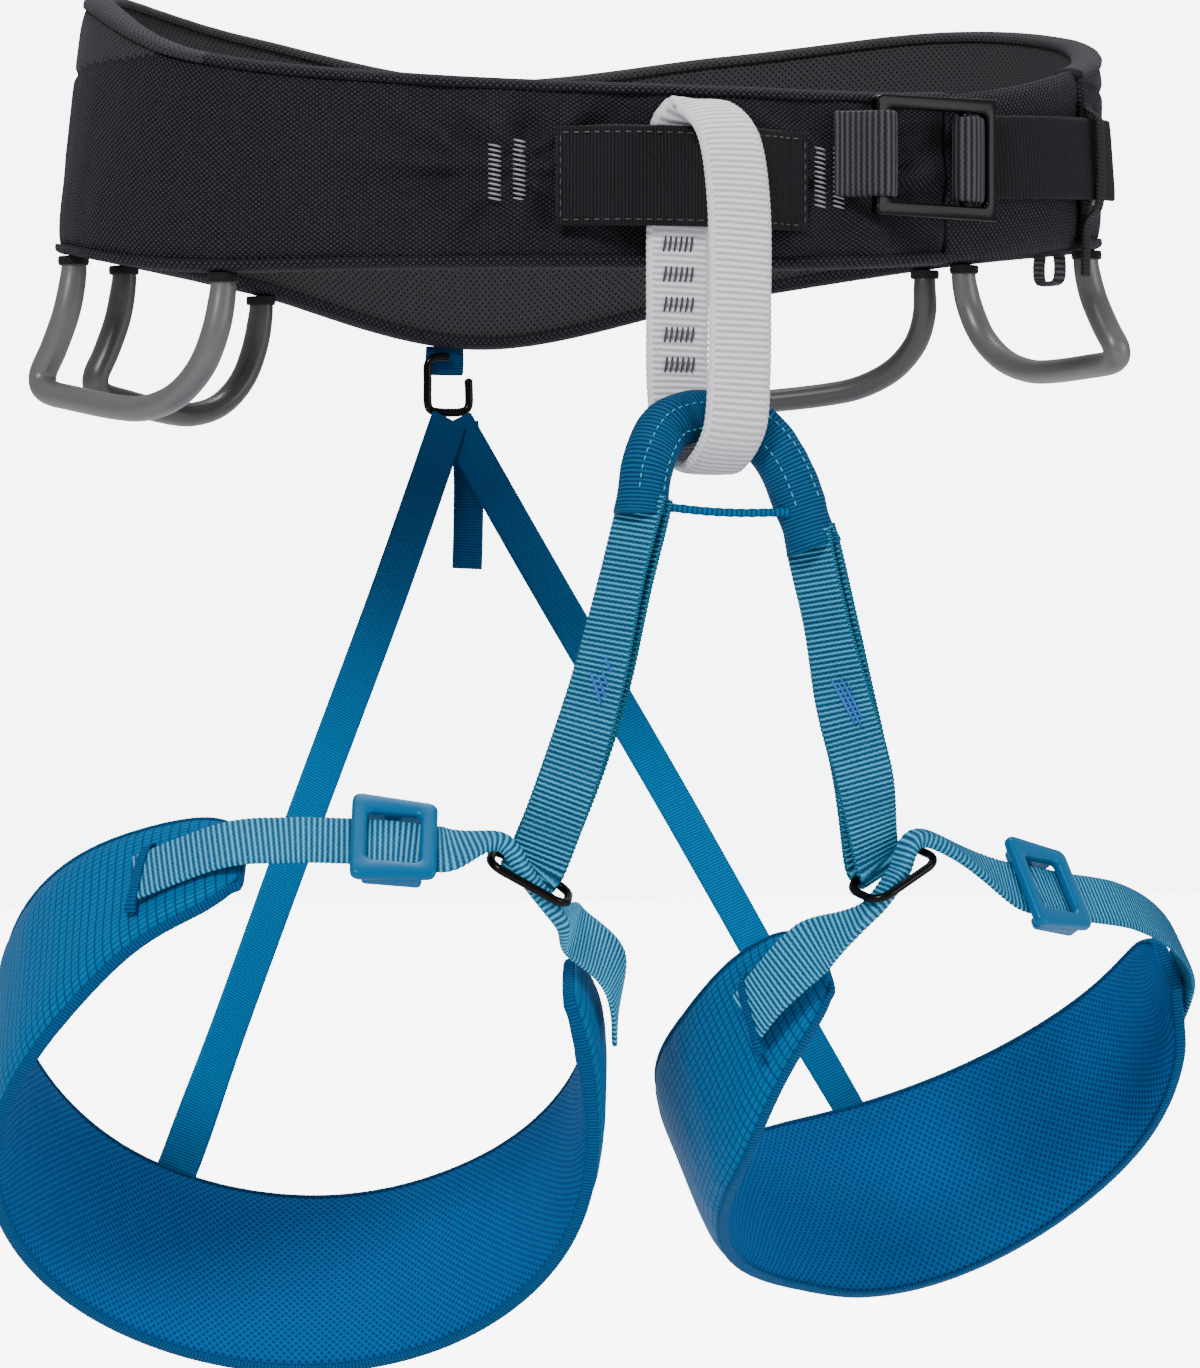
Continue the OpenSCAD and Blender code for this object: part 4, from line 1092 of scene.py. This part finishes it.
put(riser("riser_elastic_right", FOOT_RIGHT, -1), "leg_bridge", "blue_elastic", "riser_right")
put(riser("riser_elastic_left", FOOT_LEFT, 1), "leg_bridge", "blue_elastic", "riser_left")
put(webbing("riser_tail_elastic", curve([(5, 99.8, -55, 1, 0, 0), (6.5, 100.2, -68, 1, 0, 0),
                                         (6.5, 100, -82, 1, 0, 0), (6, 99.6, -97, 1, 0, 0)], 12),
            9, 1.8, "elastic", rib=0.06, pitch=0.8), "leg_bridge", "blue_elastic", "riser_tail")


# ------------------------------------------------------------------ leg loops
def leg_axes(m, slope):
    """A leg loop's axes: across, inwards to the back and up, for one side and slope."""
    c, s = math.cos(math.radians(slope)), math.sin(math.radians(slope))
    return np.array([[0.9455, m * 0.3256, 0], [-m * 0.3256 * c, 0.9455 * c, -s],
                     [-m * 0.3256 * s, 0.9455 * s, c]])


LEG_RIGHT = (np.array([-90, -62, -230.0]), leg_axes(-1, 43))
LEG_LEFT = (np.array([85, -62, -228.0]), leg_axes(1, 34))
PAD_T = 5.4


def leg_at(leg, across, front, up):
    """Places given in a leg loop's own axes."""
    o, ax = leg
    return o + np.multiply.outer(across, ax[0]) - np.multiply.outer(front, ax[1]) \
        + np.multiply.outer(up, ax[2])


PAD_RIGHT = [(-9, 79.5, 0, 16), (-16, 79.5, -7, 21), (-30, 79, -13, 24), (-50, 79, -25, 27),
             (-75, 79, -32, 28), (-110, 79.5, -34, 26), (-145, 80, -35, 22),
             (-180, 79.5, -36, 20), (-215, 77.5, -35, 20), (-245, 77, -30, 20),
             (-265, 77, -23, 18), (-280, 77.5, -15, 15), (-292, 79, -9, 12), (-297, 79.5, -4, 8)]
PAD_LEFT = [(66, 74, 2, 14), (70, 73.5, -4, 18), (78, 73.5, -14, 20), (97, 73.5, -24, 20.5),
            (124, 73.5, -31, 21), (150, 73.5, -34.5, 21), (172, 73.5, -34, 20),
            (192, 73.5, -30, 17), (215, 73.5, -28, 19), (245, 73.5, -26, 20),
            (264, 73.5, -23, 20), (284, 73.5, -12, 22), (296, 73.5, -4, 20), (301, 73.5, 2, 13)]


def pad(side, leg, rows):
    """Outer cloth, inner mesh and the rolled edge of one leg pad."""
    r = even(np.array([(a * 1.36, q, lo, hi) for a, q, lo, hi in curve(rows, 16)]), 0.9)
    ang, rad, lo, hi = np.radians(r[:, 0] / 1.36), r[:, 1], r[:, 2], r[:, 3]
    u = np.concatenate([[0], np.cumsum(np.abs(np.diff(ang)) * rad[1:])])
    n = 30
    t, edge = share_up(n)
    end = np.minimum(u, u[-1] - u)

    def section(k, face, depth, up, inset):
        """One closed section: a soft face, then two points at a depth inside the pad."""
        q = rad[k] + np.append(face, [-depth, -depth])
        return leg_at(leg, math.sin(ang[k]) * q, math.cos(ang[k]) * q,
                      np.append(up, [up[-1] - inset, up[0] + inset]))

    outer_rings, inner_rings = [], []
    for k in range(len(u)):
        up = lo[k] + (hi[k] - lo[k]) * t
        pts = np.stack([np.full(n, u[k]), up], -1)
        crease = noise(pts * [1, 0.45], 15, 3) * 0.55 + noise(pts * [1, 0.3], 5, 4) * 0.14
        tight = 0.5 * np.sin(u[k] / 1.7) * np.exp(-((1 - edge) / 0.16) ** 2) * 0.5
        slim = 1 - 0.55 * math.exp(-(end[k] / 5) ** 2)
        face = 0.1 + (0.5 * (1 - edge ** 4) - 1.9 * edge ** 8 + (crease + tight)
                      * (1 - edge ** 8)) * slim
        outer_rings.append(section(k, face - (1 - slim) * 1.5, PAD_T * 0.62, up, 0.6))
        inner_soft = noise(pts * [1, 0.4], 17, 6) * 0.5 + noise(pts * [1, 0.25], 4.5, 8) * 0.14
        face = -PAD_T + 1.7 * edge ** 8 + (1 - slim) * 1.5 \
            - (0.35 * (1 - edge ** 4) + inner_soft * (1 - edge ** 8)) * slim
        inner_rings.append(section(k, face, PAD_T * 0.5, up, 0.8))
    outer = ribbon_body("leg_pad_" + side, outer_rings, u, "ripstop")
    inner = ribbon_body("leg_mesh_" + side, inner_rings, u, "leg_mesh", flip=True)
    q = rad - PAD_T * 0.5
    low, high = (np.array([leg_at(leg, *p) for p in zip(np.sin(ang) * q, np.cos(ang) * q, h)])
                 for h in (lo - 0.1, hi + 0.1))
    loop = closed_curve(np.vstack([low[::4], high[::-4]]), 3)
    trim = webbing("leg_piping_" + side, np.hstack([loop, leg_out(leg, loop)]), 3.4, 1.1,
                   "leg_edge", closed=True, rib=0.05, step=0.6, n_face=8)
    return outer, inner, trim


def leg_out(leg, p):
    """Directions outward from the leg loop's middle, in its plane."""
    o, ax = leg
    d = p - o
    return unit(d - np.outer(d @ ax[2], ax[2]))


for side, leg, rows in (("right", LEG_RIGHT, PAD_RIGHT), ("left", LEG_LEFT, PAD_LEFT)):
    outer, inner, trim = pad(side, leg, rows)
    body = "leg_loop_" + side
    put(outer, body, "leg_fabric", "leg_shell_" + side, "leg_foam_" + side, padded=0.75)
    put(inner, body, "leg_mesh", "leg_liner_" + side, padded=0.6)
    put(trim, body, "leg_fabric")

STRAP_RIGHT = [(-38.5, 72.2, 4, 0, 0, 1), (-17, 80.2, 7.5, 0, 0, 1), (-1, 80, 9.5, 0, 0, 1),
               (12, 79.2, 10, 0, 0, 1), (25, 78, 10.2, 0, 0, 1), (38, 76, 10, 0, 0, 1)]
END_RIGHT = [(70, 47, 8, 0.4, -0.2, 0.9), (79.8, 32, 8, 0.3, 0, 0.9),
             (79.9, 14.5, 2.8, 0, 0, 1)]
STRAP_LEFT = [(73.5, 15, 2, 0, 0, 1), (67, 33, 6, 0, 0, 1), (48, 49, 7, 0, 0, 1),
              (26.6, 59.3, 8, 0, 0, 1), (6, 62.8, 9.2, 0, 0, 1), (-6, 65, 10, 0, 0, 1),
              (-18, 67, 11, 0, 0, 1)]
END_LEFT = [(-69, 43, 8.5, -0.2, 0, 1), (-74.5, 29.8, 5.5, 0, 0, 1), (-76.5, 19, 3, 0, 0, 1)]


def strap_row(leg, r):
    """A row of a strap from its place and width direction in a leg loop's axes."""
    ax = leg[1]
    return np.r_[leg_at(leg, r[0], r[1], r[2]), ax[0] * r[3] - ax[1] * r[4] + ax[2] * r[5], 0]


def leg_strap(name, leg, before, after, at, axes):
    """A strap from one end of a pad through its ring, where it bunches up, to the other end."""
    front = axes[2] * (1 if axes[2][2] > 0 else -1)
    rows = [strap_row(leg, r) for r in before]
    rows += [np.r_[at + axes[0] * k * RING_L / 2 - front * k * 4.8
                   - axes[1] * (1.5 if k == 0 else 1), axes[1], 1] for k in (-1, 0, 1)]
    rows += [strap_row(leg, r) for r in after]
    return webbing(name, curve(rows, 14), LEG_WEB, WEB_T, "web_leg", rib=0.18, pitch=1.35,
                   step=0.27, n_face=16)


put(leg_strap("leg_webbing_right", LEG_RIGHT, STRAP_RIGHT, END_RIGHT, RIGHT_AT, R_AXES),
    "leg_loop_right", "blue_webbing", "leg_strap_right")
put(leg_strap("leg_webbing_left", LEG_LEFT, STRAP_LEFT, END_LEFT, LEFT_AT, L_AXES),
    "leg_loop_left", "blue_webbing", "leg_strap_left")


def leg_slit(leg, end, nxt):
    """The fold of the pad's cloth over the end of a strap."""
    p, q = strap_row(leg, end), strap_row(leg, nxt)
    along, up = unit(q[:3] - p[:3]), unit(p[3:6])
    out = leg_out(leg, p[None, :3])[0]
    path = [(9.8, 3.4, -1.2), (7.9, 2.6, 0.5), (3, 1.4, 1.0), (-3, 0.6, 1.0),
            (-7.9, -0.6, 0.5), (-9.8, -1.5, -1.2)]
    rows = [np.r_[p[:3] + up * a + along * b + out * c, along * 0.95 + out * 0.3]
            for a, b, c in path]
    return webbing("slit", curve(rows, 8), 3.2, 1.2, "leg_edge", step=0.5, n_face=8)


for side, leg, before, after in (("right", LEG_RIGHT, STRAP_RIGHT, END_RIGHT),
                                 ("left", LEG_LEFT, STRAP_LEFT, END_LEFT)):
    ends = (before,) if side == "right" else (before, after[::-1])
    folds = [leg_slit(leg, rows[0], rows[1]) for rows in ends]
    put(join("leg_slits_" + side, folds), "leg_loop_" + side, "leg_fabric")


def leg_buckle(name, leg, a, b):
    """A moulded slider: its frame in front of the strap and a bar behind it."""
    p, q = strap_row(leg, a), strap_row(leg, b)
    mid = (p[:3] + q[:3]) / 2
    along = unit(q[:3] - p[:3])
    up = square_to(p[3:6], along)
    out = np.cross(along, up)
    window = rounded_rect(-6.6, 6.6, -7.9, 7.9, 1.8)
    lugs = smooth_outline([(-10.6, -9.5), (-9.6, -13.2), (-4.5, -13.4), (0, -12.2), (6, -12.2),
                           (10, -11.5), (11, -8), (10.8, 0), (11, 8), (10, 11.5), (6, 12.2),
                           (0, 12.2), (-4.5, 13.4), (-9.6, 13.2), (-10.6, 9.5), (-10.2, 0)], 200)
    front = frame_plate("frame", window, radial_match(window, lugs), 2.8, "plastic", 1.1)
    back = block("bar", (4.2, 22, 1.7), "plastic", 0.6)
    sides = [block("cheek", (15, 3.6, 5.6), "plastic", 1.2) for _ in (0, 1)]
    basis = np.stack([along, up, out], axis=1)
    move(front, basis, mid + out * 2.3)
    move(back, basis, mid - out * 2.0)
    for s, ob in zip((-1, 1), sides):
        move(ob, basis, mid + up * s * 10.2 + out * 0.4)
    return join(name, [front, back] + sides)


put(leg_buckle("leg_slider_right", LEG_RIGHT, STRAP_RIGHT[3], STRAP_RIGHT[5]),
    "leg_buckle_right", "blue_plastic", "leg_buckle_right")
put(leg_buckle("leg_slider_left", LEG_LEFT, STRAP_LEFT[6], STRAP_LEFT[4]), "leg_buckle_left",
    "blue_plastic", "leg_buckle_left")

# ------------------------------------------------------------------ floor, light and camera
GLOW = 7.0         # how bright the camera sees the background; the harness isn't lit by it


def glow(tree, socket, light):
    """Feeds a strength that is GLOW for the camera and another value for all other rays."""
    seen = tree.nodes.new("ShaderNodeLightPath")
    mix = tree.nodes.new("ShaderNodeMath")
    mix.operation = "MULTIPLY_ADD"
    mix.inputs[1].default_value = GLOW - light
    mix.inputs[2].default_value = light
    tree.links.new(seen.outputs["Is Camera Ray"], mix.inputs[0])
    tree.links.new(mix.outputs[0], socket)


FLOOR_Z, FLOOR_HALF = -420.0, 6000.0
M["floor"] = plain("floor_paint", (0.93, 0.93, 0.935), 0.85, Emission_Color=(1, 1, 1, 1))
floor_tree = M["floor"].node_tree
glow(floor_tree, floor_tree.nodes["Principled BSDF"].inputs["Emission Strength"], 0.0)
span = np.linspace(-FLOOR_HALF, FLOOR_HALF, 3)
corners = np.stack([*np.meshgrid(span, span, indexing="ij"), np.full((3, 3), FLOOR_Z)], axis=-1)
floor = grid("floor", corners, span, span, "floor")

world = bpy.data.worlds.new("studio")
bpy.context.scene.world = world
world.use_nodes = True
sky = world.node_tree.nodes["Background"]
sky.inputs[0].default_value = (0.92, 0.95, 1.0, 1)
glow(world.node_tree, sky.inputs[1], 0.6)


def area(name, at, aim, size, power):
    light = bpy.data.lights.new(name, "AREA")
    light.shape = "DISK"
    light.size = size
    light.energy = power
    ob = bpy.data.objects.new(name, light)
    bpy.context.scene.collection.objects.link(ob)
    ob.location = at
    d = np.subtract(aim, at)
    ob.rotation_euler = (math.acos(-d[2] / np.linalg.norm(d)), 0,
                         math.atan2(d[1], d[0]) - math.pi / 2)


area("key", (-1.2, -1.6, 1.2), (0, 0, -0.12), 0.55, 50)
area("fill", (1.3, -1.2, 0.2), (0, 0, -0.15), 0.9, 12)
area("top", (0.2, 0.3, 1.5), (0, 0, -0.1), 0.7, 26)

cam = bpy.data.cameras.new("photo")
cam.sensor_width = 36
cam.lens = 5920 / 1368 * 36
camera = bpy.data.objects.new("photo", cam)
bpy.context.scene.collection.objects.link(camera)
camera.location = (-0.5102, -1.5165, -0.130)
camera.rotation_euler = (math.radians(90), 0, math.radians(-19))
bpy.context.scene.camera = camera
